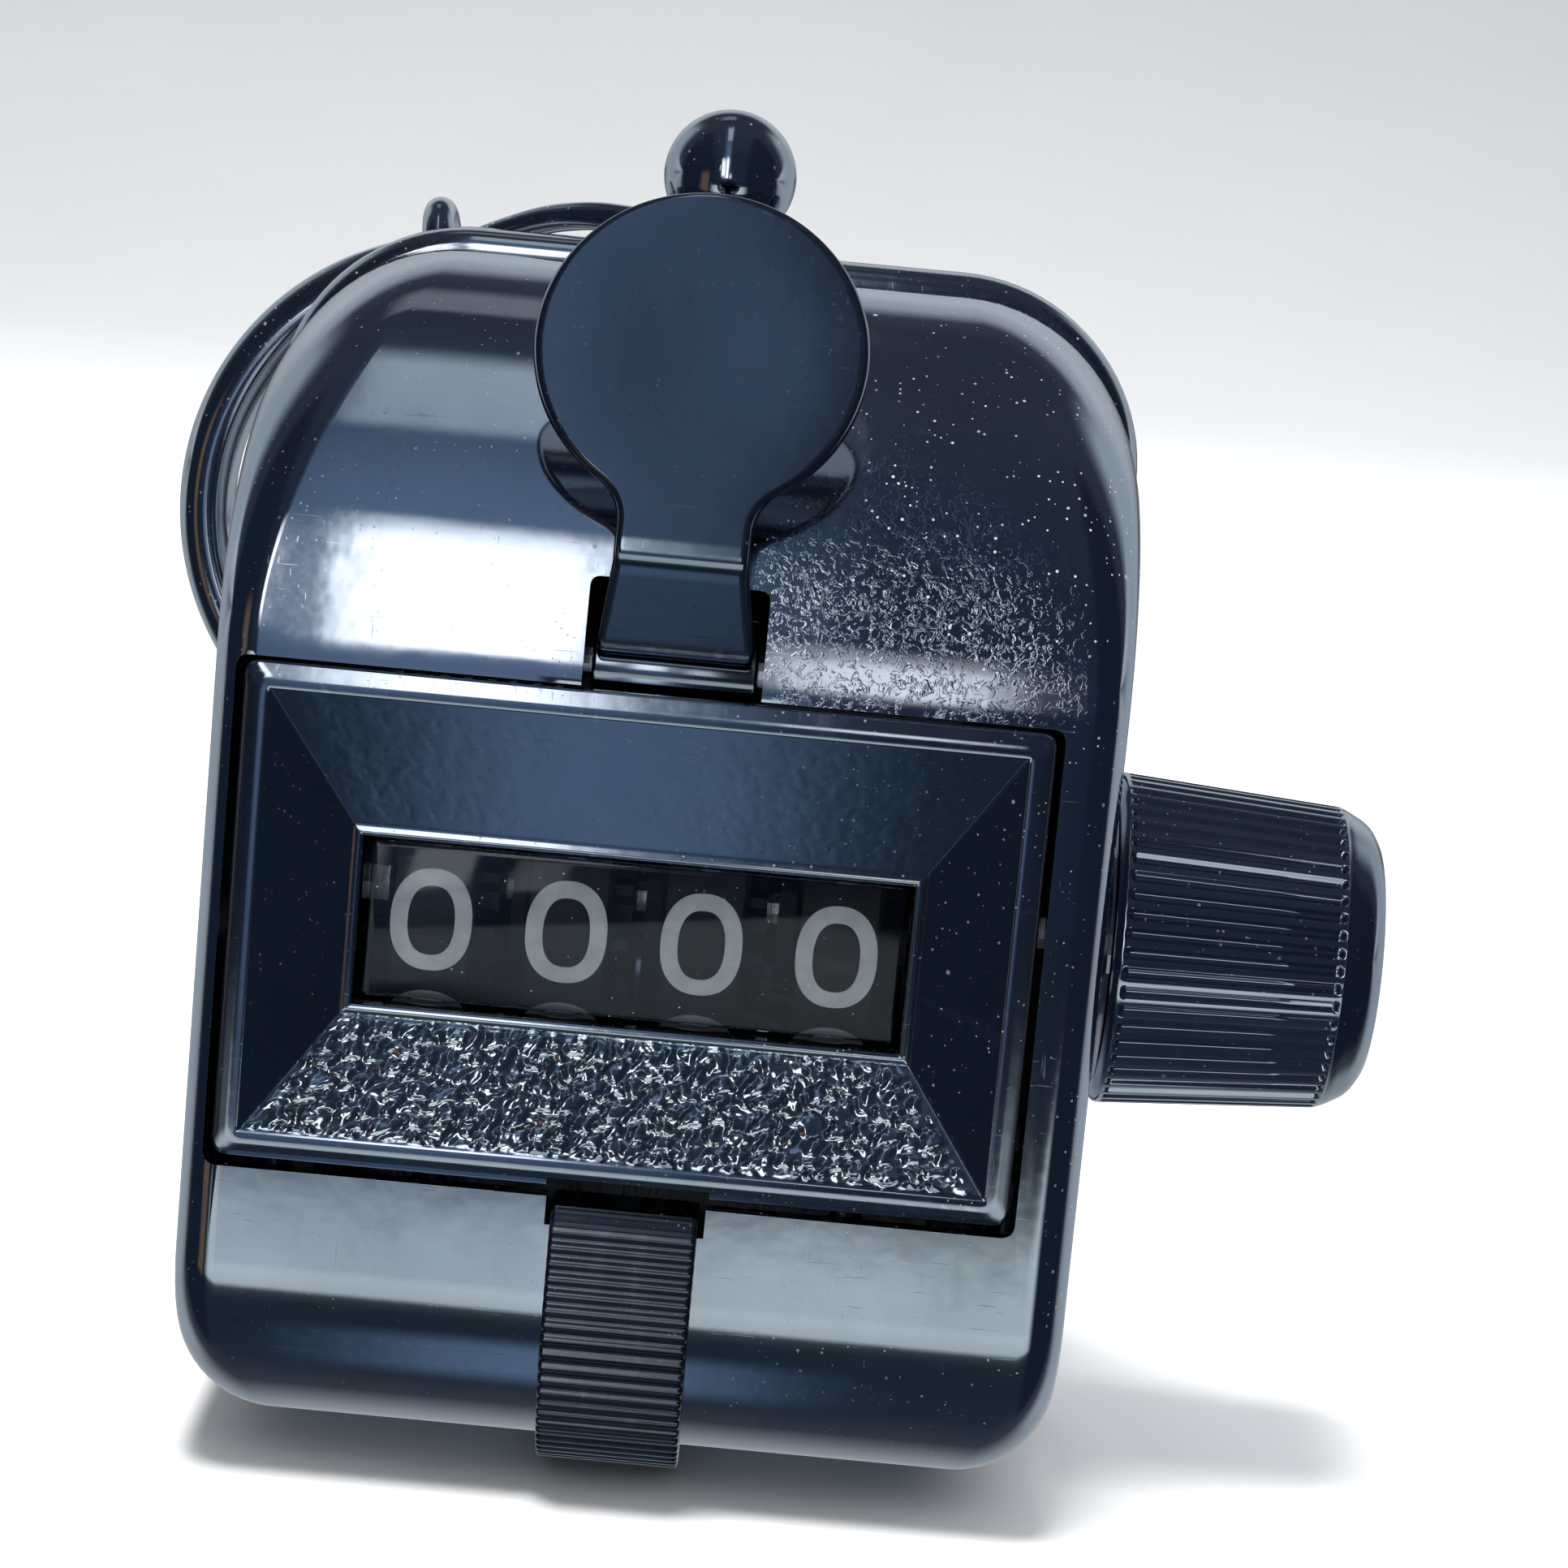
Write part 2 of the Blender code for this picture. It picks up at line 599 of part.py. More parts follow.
def build_pinions():
    names = ("hundreds_to_thousands_pinion", "tens_to_hundreds_pinion", "units_to_tens_pinion")
    # half a tooth off, so that a gap faces the wheel's tooth
    phase = PINION_ANGLE + math.pi + math.pi / PINION_TEETH
    outline = gear_outline(PINION_TEETH, PINION_R, PINION_Y, PINION_Z, phase)
    for i, name in enumerate(names):
        x = wheel_x(i)
        centre = (x, PINION_Y, PINION_Z)
        ob = make(name, prism(outline, PINION_SPAN, x), BRASS, centre)
        cut(ob, rod("X", centre, PINION_SHAFT_R + RUN, (0, 8), 16))
    shaft = rod("X", PINION_AXIS, PINION_SHAFT_R, (-17.0, 17.0), 16, chamfer=0.2)
    make("pinion_shaft", shaft, STEEL)


def build_wheel_shaft():
    groove_r, end_r = 1.5, 1.7
    bore_r = SHAFT_R + RUN
    # profiles: x, radius
    shaft = [
        (-18.5, 0), (-18.5, end_r), (-18.2, SHAFT_R), (-17.95, SHAFT_R), (-17.95, groove_r),
        (-17.3, groove_r), (-17.3, SHAFT_R), (32.3, SHAFT_R), (32.6, end_r), (32.6, 0),
    ]
    collar = [
        (-15.2, bore_r), (-15.2, 3.1), (-14.9, 3.4), (-13.5, 3.4), (-13.2, 3.1), (-13.2, bore_r),
    ]
    washer = [(21.7, SHAFT_R + 0.2), (21.7, 4.4), (22.05, 4.4), (22.05, SHAFT_R + 0.2)]
    make("wheel_shaft", lathe(shaft, "X", WHEEL_AXIS), STEEL, WHEEL_AXIS)
    make("shaft_collar", lathe(collar, "X", WHEEL_AXIS, closed=True), STEEL, WHEEL_AXIS)
    # clip open at the bottom
    clip = arc(WHEEL_Y, WHEEL_Z, 3.5, -55, 235, 24) + arc(WHEEL_Y, WHEEL_Z, 1.65, 228, -48, 20)
    make("shaft_e_clip", prism(clip, (-17.85, -17.4)), STEEL, WHEEL_AXIS)
    make("knob_washer", lathe(washer, "X", WHEEL_AXIS, 28, closed=True), STEEL, WHEEL_AXIS)


def build_knob():
    inner_x, outer_x, bore_end = 22.3, 35.9, 33.0
    inner_r, outer_r = 8.4, 7.65
    bore_r = SHAFT_R + RUN
    # x, radius
    profile = [
        (bore_end, 0), (bore_end, bore_r), (inner_x, bore_r), (inner_x, inner_r - 0.4),
        (inner_x + 0.4, inner_r), (outer_x - 2.0, outer_r), (outer_x - 0.6, 6.9),
        (outer_x, 5.9), (outer_x, 0),
    ]
    ob = make("reset_knob", lathe(profile, "X", WHEEL_AXIS, 40), CHROME, WHEEL_AXIS)
    screw_centre = (27.0, WHEEL_Y, WHEEL_Z)
    cut(ob, rod("Y", screw_centre, 1.05, (1.0, 9.5), 16))
    screw = rod("Y", screw_centre, 0.8, (2.3, 7.6), 16, chamfer=0.2)
    make("knob_set_screw", screw, STEEL, WHEEL_AXIS)


# ---------------------------------------------------------------- frame
# y, z
PLATE_OUTLINE = [
    (-8.9, 8.0), (-7.4, 6.5), (9.3, 6.5), (10.8, 8.0), (10.8, 51.5), (9.3, 53.0),
    (2.0, 53.0), (-6.0, 47.0), (-9.5, 44.4), (-12.1, 42.6), (-12.1, 40.8), (-8.9, 37.2),
]
# x, radius
FRAME_ROD_PROFILE = [
    (-17.2, 0), (-17.2, 1.1), (-15.2, 1.1), (-15.2, 2.1),
    (15.2, 2.1), (15.2, 1.1), (17.2, 1.1), (17.2, 0),
]
# y, radius
BACK_SCREW_PROFILE = [
    (6.4, 0), (6.6, 0.8), (6.8, 0.9), (14.2, 0.9),
    (14.2, 1.9), (14.7, 1.9), (15.1, 1.4), (15.25, 0),
]


def build_frame_plates():
    near, far = PLATE_SPAN
    for name, span in (("left_frame_plate", (-far, -near)), ("right_frame_plate", (near, far))):
        ob = make(name, prism(PLATE_OUTLINE, span), STEEL)
        through = (span[0] - 2, span[1] + 2)
        holes = rod("X", WHEEL_AXIS, SHAFT_R + RUN, through)
        rod("X", LEVER_AXIS, LEVER_SHAFT_R + 0.1, through, bm=holes)
        rod("X", PINION_AXIS, PINION_SHAFT_R + RUN, through, 16, bm=holes)
        for z in FRAME_ROD_ZS:
            rod("X", (0, FRAME_ROD_Y, z), 1.25, through, 16, bm=holes)
        cut(ob, holes)


def build_frame_rods():
    for name, z in zip(("lower_frame_rod", "upper_frame_rod"), FRAME_ROD_ZS):
        ob = make(name, lathe(FRAME_ROD_PROFILE, "X", (0, FRAME_ROD_Y, z)), STEEL)
        holes = bmesh.new()
        for x in SCREW_XS:
            rod("Y", (x, 0, z), 1.05, (4, 12), 16, bm=holes)
        cut(ob, holes)


def build_back_screws():
    places = [(x, 0, z) for z in FRAME_ROD_ZS for x in SCREW_XS]
    for number, place in enumerate(places, 1):
        make(f"back_screw_{number}", lathe(BACK_SCREW_PROFILE, "Y", place, 20), STEEL)


def build_detent_spring():
    path = [(9.8, 13.2), (4.0, 13.4), (1.2, 16.5), (-0.9, 20.9), (-2.3, 20.1)]    # y, z
    leaf = bent_plate([(y, z, 0.5) for y, z in path], thickness=0.3, x=11.9)
    make("detent_spring", leaf, SPRING)


# ---------------------------------------------------------------- finger ring
# y, radius
RIVET_PROFILE = [
    (11.8, 0), (11.8, 2.0), (12.6, 2.3), (12.6, 1.25), (15.4, 1.25),
    (15.4, 2.4), (15.9, 2.1), (16.3, 1.3), (16.45, 0),
]


def strap_path():
    """(y, z) centreline: front hook, under the case, round the loop and up the back."""
    path = [(y, HOOK_TOP) for y in HOOK_TIP_YS]
    path += arc(FRONT_Y, HOOK_TOP - HOOK_R, HOOK_R, 90, 180, 3)
    under_r = CASE_BOTTOM + BOTTOM_R - STRAP_T / 2
    path += arc(FRONT_Y + BOTTOM_R, CASE_BOTTOM + BOTTOM_R, under_r, 180, 270, 12)
    path += arc(LOOP_Y, LOOP_Z, LOOP_R, -90, 90, 24)
    path += arc(STRAP_BACK_Y + STRAP_FILLET, LOOP_Z + LOOP_R + STRAP_FILLET, STRAP_FILLET,
                270, 180, 8)
    path.append((STRAP_BACK_Y, STRAP_TOP))
    return path


def build_finger_ring():
    strap = bent_plate([(y, z, STRAP_HALF_W) for y, z in strap_path()], STRAP_T)
    ob = make("finger_ring", strap, CHROME)
    holes = bmesh.new()
    for z in RIVET_ZS:
        rod("Y", (0, 0, z), RIVET_HOLE_R, (13.5, 16), 20, bm=holes)
    cut(ob, holes)
    for number, z in enumerate(RIVET_ZS, 1):
        make(f"ring_rivet_{number}", lathe(RIVET_PROFILE, "Y", (0, 0, z), 20), STEEL)


# ---------------------------------------------------------------- lanyard
def build_ball_stud():
    # z, radius
    profile = [(55.5, 0), (55.5, 1.9), (56.9, 1.9), (56.9, STUD_NECK_R)]
    start = -math.degrees(math.acos(STUD_NECK_R / BALL_R))
    for i in range(10):
        a = math.radians(start + (86 - start) * i / 10)
        profile.append((BALL_Z + BALL_R * math.sin(a), BALL_R * math.cos(a)))
    profile.append((BALL_Z + BALL_R, 0))
    make("lanyard_ball_stud", lathe(profile, "Z", (0, STUD_Y, 0)), CHROME)


def build_lanyard():
    """Ring, and the link whose eye holds it and whose washer sits round the stud."""
    eye_x, eye_z = polar(RING_X, RING_Z, RING_R, EYE_ANGLE)
    eye = (eye_x, RING_Y, eye_z)
    ring = torus((RING_X, RING_Y, RING_Z), (0, 1, 0), RING_R, RING_WIRE_R, seg=40, sides=10)
    make("lanyard_ring", ring, CHROME, eye)
    tangent = (-math.sin(EYE_ANGLE), 0, math.cos(EYE_ANGLE))
    ob = make("lanyard_link", torus(eye, tangent, EYE_R, EYE_WIRE_R, seg=24, sides=8), CHROME)
    # x, y, z from the stud to the eye
    bar = [
        (-2.6, 10.4, 60.8), (-4.6, 11.0, 60.95), (-7.0, 12.6, 61.0), (-9.6, 14.4, 60.5),
        (-12.4, RING_Y - 3.0, 59.3), (eye_x + 0.1, RING_Y - EYE_R + 0.1, eye_z + 0.4),
    ]
    join(ob, sweep(bar, radius=0.75, sides=8))
    washer = [(60.05, 1.45), (60.05, 2.9), (60.42, 2.9), (60.42, 1.45)]    # z, radius
    join(ob, lathe(washer, "Z", (0, STUD_Y, 0), closed=True))


for old_object in list(bpy.data.objects):
    bpy.data.objects.remove(old_object, do_unlink=True)

build_front_shell()
build_back_cover()
build_bezel()
build_lens()
build_thumb_lever()
build_drive_arm()
build_pawl()
build_lever_springs()
build_lever_shaft()
build_wheels()
build_pinions()
build_wheel_shaft()
build_knob()
build_frame_plates()
build_frame_rods()
build_back_screws()
build_detent_spring()
build_finger_ring()
build_ball_stud()
build_lanyard()
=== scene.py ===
"""Hand tally counter: the visual model and its studio scene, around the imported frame.

The counter stands upright: +Z is up, its number window faces -Y, and the reset knob
is on the +X side. Shapes are worked out in millimetres in the frame's coordinates
and turned into metres when each mesh is made.
"""

import json
import math

import bmesh
import bpy
import numpy as np
from mathutils import Matrix, Vector

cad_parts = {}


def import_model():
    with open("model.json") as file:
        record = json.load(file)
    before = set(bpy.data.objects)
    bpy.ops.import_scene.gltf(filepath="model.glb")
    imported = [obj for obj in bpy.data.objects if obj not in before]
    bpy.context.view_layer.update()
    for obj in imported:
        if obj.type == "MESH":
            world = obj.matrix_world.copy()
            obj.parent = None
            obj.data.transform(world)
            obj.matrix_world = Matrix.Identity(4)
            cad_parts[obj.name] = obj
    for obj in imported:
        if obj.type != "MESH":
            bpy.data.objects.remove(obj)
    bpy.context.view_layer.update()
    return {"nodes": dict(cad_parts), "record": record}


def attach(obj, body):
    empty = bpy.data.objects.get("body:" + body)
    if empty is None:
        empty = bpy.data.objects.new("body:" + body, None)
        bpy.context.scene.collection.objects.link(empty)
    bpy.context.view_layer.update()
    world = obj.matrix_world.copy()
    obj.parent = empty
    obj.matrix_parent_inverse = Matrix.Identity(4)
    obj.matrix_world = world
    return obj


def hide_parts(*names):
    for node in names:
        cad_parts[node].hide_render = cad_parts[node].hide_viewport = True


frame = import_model()
SCENE = bpy.context.scene
MM = 0.001

# ---- case ----
HALF_WIDTH = 21.5
FRONT_Y = -14.0
PART_Y = 8.0            # where the front shell ends
PART_GAP = 0.3          # from there to the back cover
BACK_Y = 14.0
BOTTOM_Z = 1.2
TOP_Z = 59.0
WALL = 1.0
BOTTOM_R = 10.0         # bend from the bottom to the front
BOTTOM_Y = FRONT_Y + BOTTOM_R
CROWN_R = 18.3          # bend from the front to the top
CROWN_Y = FRONT_Y + CROWN_R
CROWN_Z = TOP_Z - CROWN_R
EDGE_FACE = 2.2         # side edge radius on the front, the bottom and the top
EDGE_BOTTOM = 5.0
EDGE_TOP = 9.0

# ---- number window: rectangles as (half width, half height, middle z) ----
WINDOW_X = -0.9
BEZEL = (19.1, 12.0, 28.1)
RECESS = (17.8, 10.6, BEZEL[2])
WINDOW = (13.2, 4.1, 27.5)
OPENING_GAP = 0.3       # case opening, beyond the bezel
OPENING_HALF_X = BEZEL[0] + OPENING_GAP
OPENING_Z0 = BEZEL[2] - BEZEL[1] - OPENING_GAP
OPENING_Z1 = BEZEL[2] + BEZEL[1] + OPENING_GAP
BEZEL_CORNER = 0.7
BEAD = 0.62             # width of the bead round the window
SLOPE_Y0 = -13.33       # outer and inner ends of the sloped sides
SLOPE_Y1 = -10.3

# ---- number wheels and their shaft ----
AXIS_Y = 1.2
AXIS_Z = 27.7
WHEEL_R = 10.0
WHEEL_PITCH = 6.55
SHAFT_R = 2.0
RUNNING_GAP = 0.12

# ---- thumb lever ----
LEVER_Y = -9.5          # pivot
LEVER_Z = 41.0
LEVER_PIN_R = 1.5
BEND_Y = -17.1
BEND_Z = 47.1
PAD_TILT = math.radians(24.0)
PAD_DIST = 9.9          # from the bend to the middle of the round pad
PAD_R = 7.75
PLATE_T = 1.0

# ---- reset knob ----
KNOB_X0 = 22.3
KNOB_X1 = 35.9
KNOB_R0 = 8.4
KNOB_R1 = 7.65

# ---- finger ring: a strap of sheet ----
STRAP_HALF_W = 3.5
STRAP_T = 0.8
LOOP_Y = 27.5
LOOP_R = 12.8
LOOP_Z = LOOP_R + STRAP_T / 2
TAIL_Y = 14.7           # upright end of the strap
TAIL_R = 6.0

# ---- fixings ----
RIVET_ZS = (35.0, 42.0)
RIVET_HOLE_R = 1.5
SCREW_X = 11.0
SCREW_ZS = (10.0, 50.0)

# ---- ball stud and lanyard ----
STUD_Y = 10.0
STUD_NECK_R = 1.25
BALL_Z = 63.7
BALL_R = 3.4
RING_CENTRE = (-13.2, 18.5, 43.9)
RING_R = 13.7
RING_WIRE = 1.5
EYE_ANGLE = math.radians(98.0)
EYE_R = 2.7
EYE_WIRE = 0.85


# ================================================================ mesh helpers
class Geometry:
    """Vertices and faces of one piece, gathered from grids of points in millimetres."""

    def __init__(self, rows=None, **options):
        self.verts = []
        self.faces = []
        self.count = 0
        if rows is not None:
            self.grid(rows, **options)

    def grid(self, rows, ring=True, loop=False, caps=False):
        """Join rows of points; ring closes each row, loop joins the last row to the first."""
        points = np.asarray(rows, float)
        height, width = points.shape[:2]
        index = np.arange(height * width).reshape(height, width) + self.count
        self.verts.append(points.reshape(-1, 3))
        self.count += height * width
        low = index if loop else index[:-1]
        high = np.roll(index, -1, 0) if loop else index[1:]
        quads = np.stack([low, np.roll(low, -1, 1), np.roll(high, -1, 1), high], -1)
        if not ring:
            quads = quads[:, :-1]
        self.faces += quads.reshape(-1, 4).tolist()
        if caps:
            self.face(index[0][::-1])
            self.face(index[-1])
        return index

    def face(self, indices):
        self.faces.append([int(i) for i in indices])

    def mesh(self, name, smooth=35.0):
        mesh = bpy.data.meshes.new(name)
        mesh.from_pydata((np.concatenate(self.verts) * MM).tolist(), [], self.faces)
        bm = bmesh.new()
        bm.from_mesh(mesh)
        bmesh.ops.remove_doubles(bm, verts=bm.verts, dist=1e-7)
        bmesh.ops.dissolve_degenerate(bm, edges=bm.edges, dist=1e-8)
        bmesh.ops.recalc_face_normals(bm, faces=bm.faces)
        bm.to_mesh(mesh)
        bm.free()
        shade(mesh, smooth)
        return mesh


def shade(mesh, angle):
    """Smooth shading, sharp where faces meet at more than the angle in degrees."""
    mesh.shade_smooth()
    mesh.set_sharp_from_angle(angle=math.radians(angle))


def piece(name, geometry, material, body, smooth=35.0):
    ob = bpy.data.objects.new(name, geometry.mesh(name, smooth))
    SCENE.collection.objects.link(ob)
    ob.data.materials.append(material)
    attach(ob, body)
    return ob


def stand_in(node, geometry, material, body="case", smooth=35.0):
    """A piece that replaces the CAD node it is named after."""
    ob = piece(node + "_visual", geometry, material, body, smooth)
    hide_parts(node)
    return ob


def apply_modifiers(ob):
    bpy.context.view_layer.update()
    depsgraph = bpy.context.evaluated_depsgraph_get()
    mesh = bpy.data.meshes.new_from_object(ob.evaluated_get(depsgraph))
    ob.modifiers.clear()
    old = ob.data
    ob.data = mesh
    bpy.data.meshes.remove(old)


def cut(ob, geometry):
    mesh = geometry.mesh("cutter")
    tool = bpy.data.objects.new("cutter", mesh)
    SCENE.collection.objects.link(tool)
    boolean = ob.modifiers.new("cut", "BOOLEAN")
    boolean.operation = "DIFFERENCE"
    boolean.solver = "EXACT"
    boolean.object = tool
    apply_modifiers(ob)
    bpy.data.objects.remove(tool, do_unlink=True)
    bpy.data.meshes.remove(mesh)


def soften(ob, width, segments=2, angle=50.0):
    """Small radius on every hard edge, then normals that keep the flats flat."""
    bevel = ob.modifiers.new("edge", "BEVEL")
    bevel.width = width * MM
    bevel.segments = segments
    bevel.limit_method = "ANGLE"
    bevel.angle_limit = math.radians(angle)
    bevel.miter_outer = "MITER_ARC"
    bevel.use_clamp_overlap = True
    apply_modifiers(ob)
    shade(ob.data, 40)
    normals = ob.modifiers.new("normals", "WEIGHTED_NORMAL")
    normals.keep_sharp = True
    apply_modifiers(ob)


def rounded(points, radius, steps=4, closed=False):
    """Round the corners of a polyline; radius is one number or one per point."""
    points = [np.array(p, float) for p in points]
    radii = [radius] * len(points) if np.isscalar(radius) else radius
    out = []
    for i, corner in enumerate(points):
        if (not closed and i in (0, len(points) - 1)) or radii[i] <= 0:
            out.append(corner)
            continue
        before = points[i - 1] - corner
        after = points[(i + 1) % len(points)] - corner
        len_before, len_after = np.linalg.norm(before), np.linalg.norm(after)
        reach = min(radii[i], 0.45 * len_before, 0.45 * len_after)
        start = corner + before / len_before * reach
        end = corner + after / len_after * reach
        for k in range(steps + 1):
            t = k / steps
            out.append(start * (1 - t) ** 2 + corner * 2 * t * (1 - t) + end * t * t)
    return [tuple(p) for p in out]


def resample(points, step):
    """Points at an even spacing along a polyline, and their distances along it."""
    points = np.array(points, float)
    lengths = np.linalg.norm(np.diff(points, axis=0), axis=1)
    along = np.concatenate([[0], np.cumsum(lengths)])
    even = np.linspace(0, along[-1], max(2, int(round(along[-1] / step)) + 1))
    columns = [np.interp(even, along, column) for column in points.T]
    return np.stack(columns, 1), even


def lathe(profile, axis, centre, segments=64, shape=None):
    """Rings of (position along the axis, radius); shape(along, radius, angles) may vary a radius."""
    ahead, side, up = np.roll(np.eye(3), -"XYZ".index(axis), axis=0)
    angles = np.arange(segments) * math.tau / segments
    spokes = np.cos(angles)[:, None] * side + np.sin(angles)[:, None] * up
    rows = []
    for along, radius in profile:
        radii = shape(along, radius, angles) if shape else np.full(segments, radius)
        rows.append(np.array(centre, float) + ahead * along + spokes * radii[:, None])
    return np.array(rows)


def torus(centre, axis, radius, wire, segments, sides):
    axis = Vector(axis).normalized()
    side = axis.orthogonal().normalized()
    up = axis.cross(side)
    centre, axis, side, up = (np.array(v) for v in (Vector(centre), axis, side, up))
    around = np.arange(segments)[:, None] * math.tau / segments
    across = np.arange(sides)[None, :] * math.tau / sides
    spoke = np.cos(around)[..., None] * side + np.sin(around)[..., None] * up
    reach = (radius + wire * np.cos(across))[..., None]
    return centre + spoke * reach + axis * (wire * np.sin(across))[..., None]


def sweep(path, radius, sides):
    """Round wire along a path."""
    path = np.array(path, float)
    last = len(path) - 1
    tangents = np.array([path[min(i + 1, last)] - path[max(i - 1, 0)] for i in range(last + 1)])
    tangents /= np.linalg.norm(tangents, axis=1)[:, None]
    angles = np.arange(sides) * math.tau / sides
    normal = np.cross(tangents[0], [0.3, 0.5, 0.8])
    rows = []
    for point, tangent in zip(path, tangents):
        normal = normal - tangent * normal.dot(tangent)
        normal /= np.linalg.norm(normal)
        other = np.cross(tangent, normal)
        circle = np.cos(angles)[:, None] * normal + np.sin(angles)[:, None] * other
        rows.append(point + circle * radius)
    return np.array(rows)


def rod(axis, centre, radius, start, end):
    return Geometry(lathe([(start, radius), (end, radius)], axis, centre, 48), caps=True)


def slab(x_range, y_range, z_range, corner=0.0):
    """Block along Y whose four long edges are rounded."""
    (x0, x1), (z0, z1) = x_range, z_range
    ring = rounded([(x0, z0), (x1, z0), (x1, z1), (x0, z1)], corner, 6, closed=True)
    return Geometry([[(x, y, z) for x, z in ring] for y in y_range], caps=True)


def arc(centre_y, centre_z, radius, start, end, steps):
    angles = [math.radians(start + (end - start) * i / steps) for i in range(steps + 1)]
    return [(centre_y + radius * math.cos(a), centre_z + radius * math.sin(a)) for a in angles]


def smoothstep(x, start, end):
    t = np.clip((np.asarray(x, float) - start) / (end - start), 0, 1)
    return t * t * (3 - 2 * t)


def cell_random(i, j, seed):
    """Repeatable pseudo-random numbers in 0..1 for integer cells."""
    value = np.sin(i * 127.1 + j * 311.7 + seed * 74.7) * 43758.5453
    return value - np.floor(value)


def pebbles(across, down, cell, seed):
    """Height 0..1 of rounded grains packed on a plane, with creases between them."""
    across, down = across / cell, down / cell
    first = np.full(across.shape, 9.0)      # distances to the two nearest grains
    second = np.full(across.shape, 9.0)
    top = np.zeros(across.shape)
    for di in (-1, 0, 1):
        for dj in (-1, 0, 1):
            i, j = np.floor(across) + di, np.floor(down) + dj
            grain_x = i + 0.5 + 0.75 * (cell_random(i, j, seed) - 0.5)
            grain_y = j + 0.5 + 0.75 * (cell_random(i, j, seed + 3.1) - 0.5)
            distance = np.hypot(across - grain_x, down - grain_y)
            near = distance < first
            second = np.where(near, first, np.minimum(second, distance))
            top = np.where(near, 0.75 + 0.25 * cell_random(i, j, seed + 7.7), top)
            first = np.where(near, distance, first)
    return smoothstep(second - first, 0.0, 0.55) * top * (1 - 0.25 * first)


# ================================================================ node helpers
def rgba(color):
    return color if isinstance(color, bpy.types.NodeSocket) else (*color, 1.0)


def tint(color, gain, lift=0.0):
    return tuple(min(1.0, c * gain + lift) for c in color)


class Graph:
    """Short ways to add shader nodes; a value may be a socket or a constant."""

    def __init__(self, tree):
        self.tree = tree

    def put(self, socket, value):
        if isinstance(value, bpy.types.NodeSocket):
            self.tree.links.new(value, socket)
        else:
            socket.default_value = value

    def node(self, kind, inputs=None, **settings):
        node = self.tree.nodes.new(kind)
        for key, value in settings.items():
            setattr(node, key, value)
        for key, value in (inputs or {}).items():
            self.put(node.inputs[key], value)
        return node

    def surface(self, **inputs):
        """Feed the Principled shader; an underscore in a name stands for a space."""
        shader = self.tree.nodes["Principled BSDF"]
        for key, value in inputs.items():
            self.put(shader.inputs[key.replace("_", " ")], value)

    def math(self, operation, *values, clamp=False):
        inputs = dict(enumerate(values))
        node = self.node("ShaderNodeMath", inputs, operation=operation, use_clamp=clamp)
        return node.outputs[0]

    def add(self, a, b, clamp=False):
        return self.math("ADD", a, b, clamp=clamp)

    def sub(self, a, b, clamp=False):
        return self.math("SUBTRACT", a, b, clamp=clamp)

    def mul(self, a, b, clamp=False):
        return self.math("MULTIPLY", a, b, clamp=clamp)

    def scale_add(self, value, scale, offset):
        return self.math("MULTIPLY_ADD", value, scale, offset)

    def mix(self, factor, a, b):
        inputs = {0: factor, 6: rgba(a), 7: rgba(b)}
        return self.node("ShaderNodeMix", inputs, data_type="RGBA").outputs[2]

    def mix_float(self, factor, a, b):
        inputs = {0: factor, 2: a, 3: b}
        return self.node("ShaderNodeMix", inputs, data_type="FLOAT").outputs[0]

    def step(self, value, lo, hi, start=0.0, end=1.0):
        """Smooth change from start at lo to end at hi."""
        inputs = dict(enumerate((value, lo, hi, start, end)))
        node = self.node("ShaderNodeMapRange", inputs, interpolation_type="SMOOTHSTEP")
        return node.outputs[0]

    def band(self, value, rise0, rise1, fall0, fall1):
        rise = self.step(value, rise0, rise1)
        return self.mul(rise, self.step(value, fall0, fall1, start=1.0, end=0.0))

    def ramp(self, value, stops):
        node = self.node("ShaderNodeValToRGB", {0: value})
        elements = node.color_ramp.elements
        for i, (position, color) in enumerate(stops):
            element = elements[i] if i < 2 else elements.new(position)
            element.position = position
            element.color = rgba(color)
        return node.outputs[0]

    def coords(self, stretch=(1, 1, 1)):
        """Object coordinates in millimetres, times stretch."""
        place = self.node("ShaderNodeTexCoord").outputs["Object"]
        scale = [1000 * s for s in stretch]
        return self.node("ShaderNodeMapping", {0: place, "Scale": scale}).outputs[0]

    def noise(self, place, scale, detail=3.0, rough=0.5, distort=0.0):
        inputs = {"Vector": place, "Scale": scale, "Detail": detail, "Roughness": rough,
                  "Distortion": distort}
        return self.node("ShaderNodeTexNoise", inputs).outputs[0]

    def xyz(self, vector):
        return self.node("ShaderNodeSeparateXYZ", {0: vector}).outputs

    def edges(self, hi=0.58):
        """Mask of the convex edges, where the materials paint a highlight."""
        return self.step(self.node("ShaderNodeNewGeometry").outputs["Pointiness"], lo=0.52, hi=hi)

    def bump(self, height, strength, distance):
        inputs = {"Strength": strength, "Distance": distance * MM, "Height": height}
        return self.node("ShaderNodeBump", inputs).outputs[0]

    def specks(self, place, scale, size, share):
        """Scattered grains: a few cells of a cell pattern hold a small dot of random size."""
        cells = self.node("ShaderNodeTexVoronoi", {"Vector": place, "Scale": scale})
        random = self.xyz(cells.outputs["Color"])
        keep = self.step(random[0], lo=1 - share, hi=1 - share * 0.8)
        radius = self.scale_add(random[1], scale=size, offset=size * 0.35)
        beyond = self.sub(cells.outputs["Distance"], radius)
        return self.mul(keep, self.step(beyond, lo=-0.04, hi=0.02, start=1.0, end=0.0))


def new_material(name):
    material = bpy.data.materials.new(name)
    material.use_nodes = True
    return material, Graph(material.node_tree)


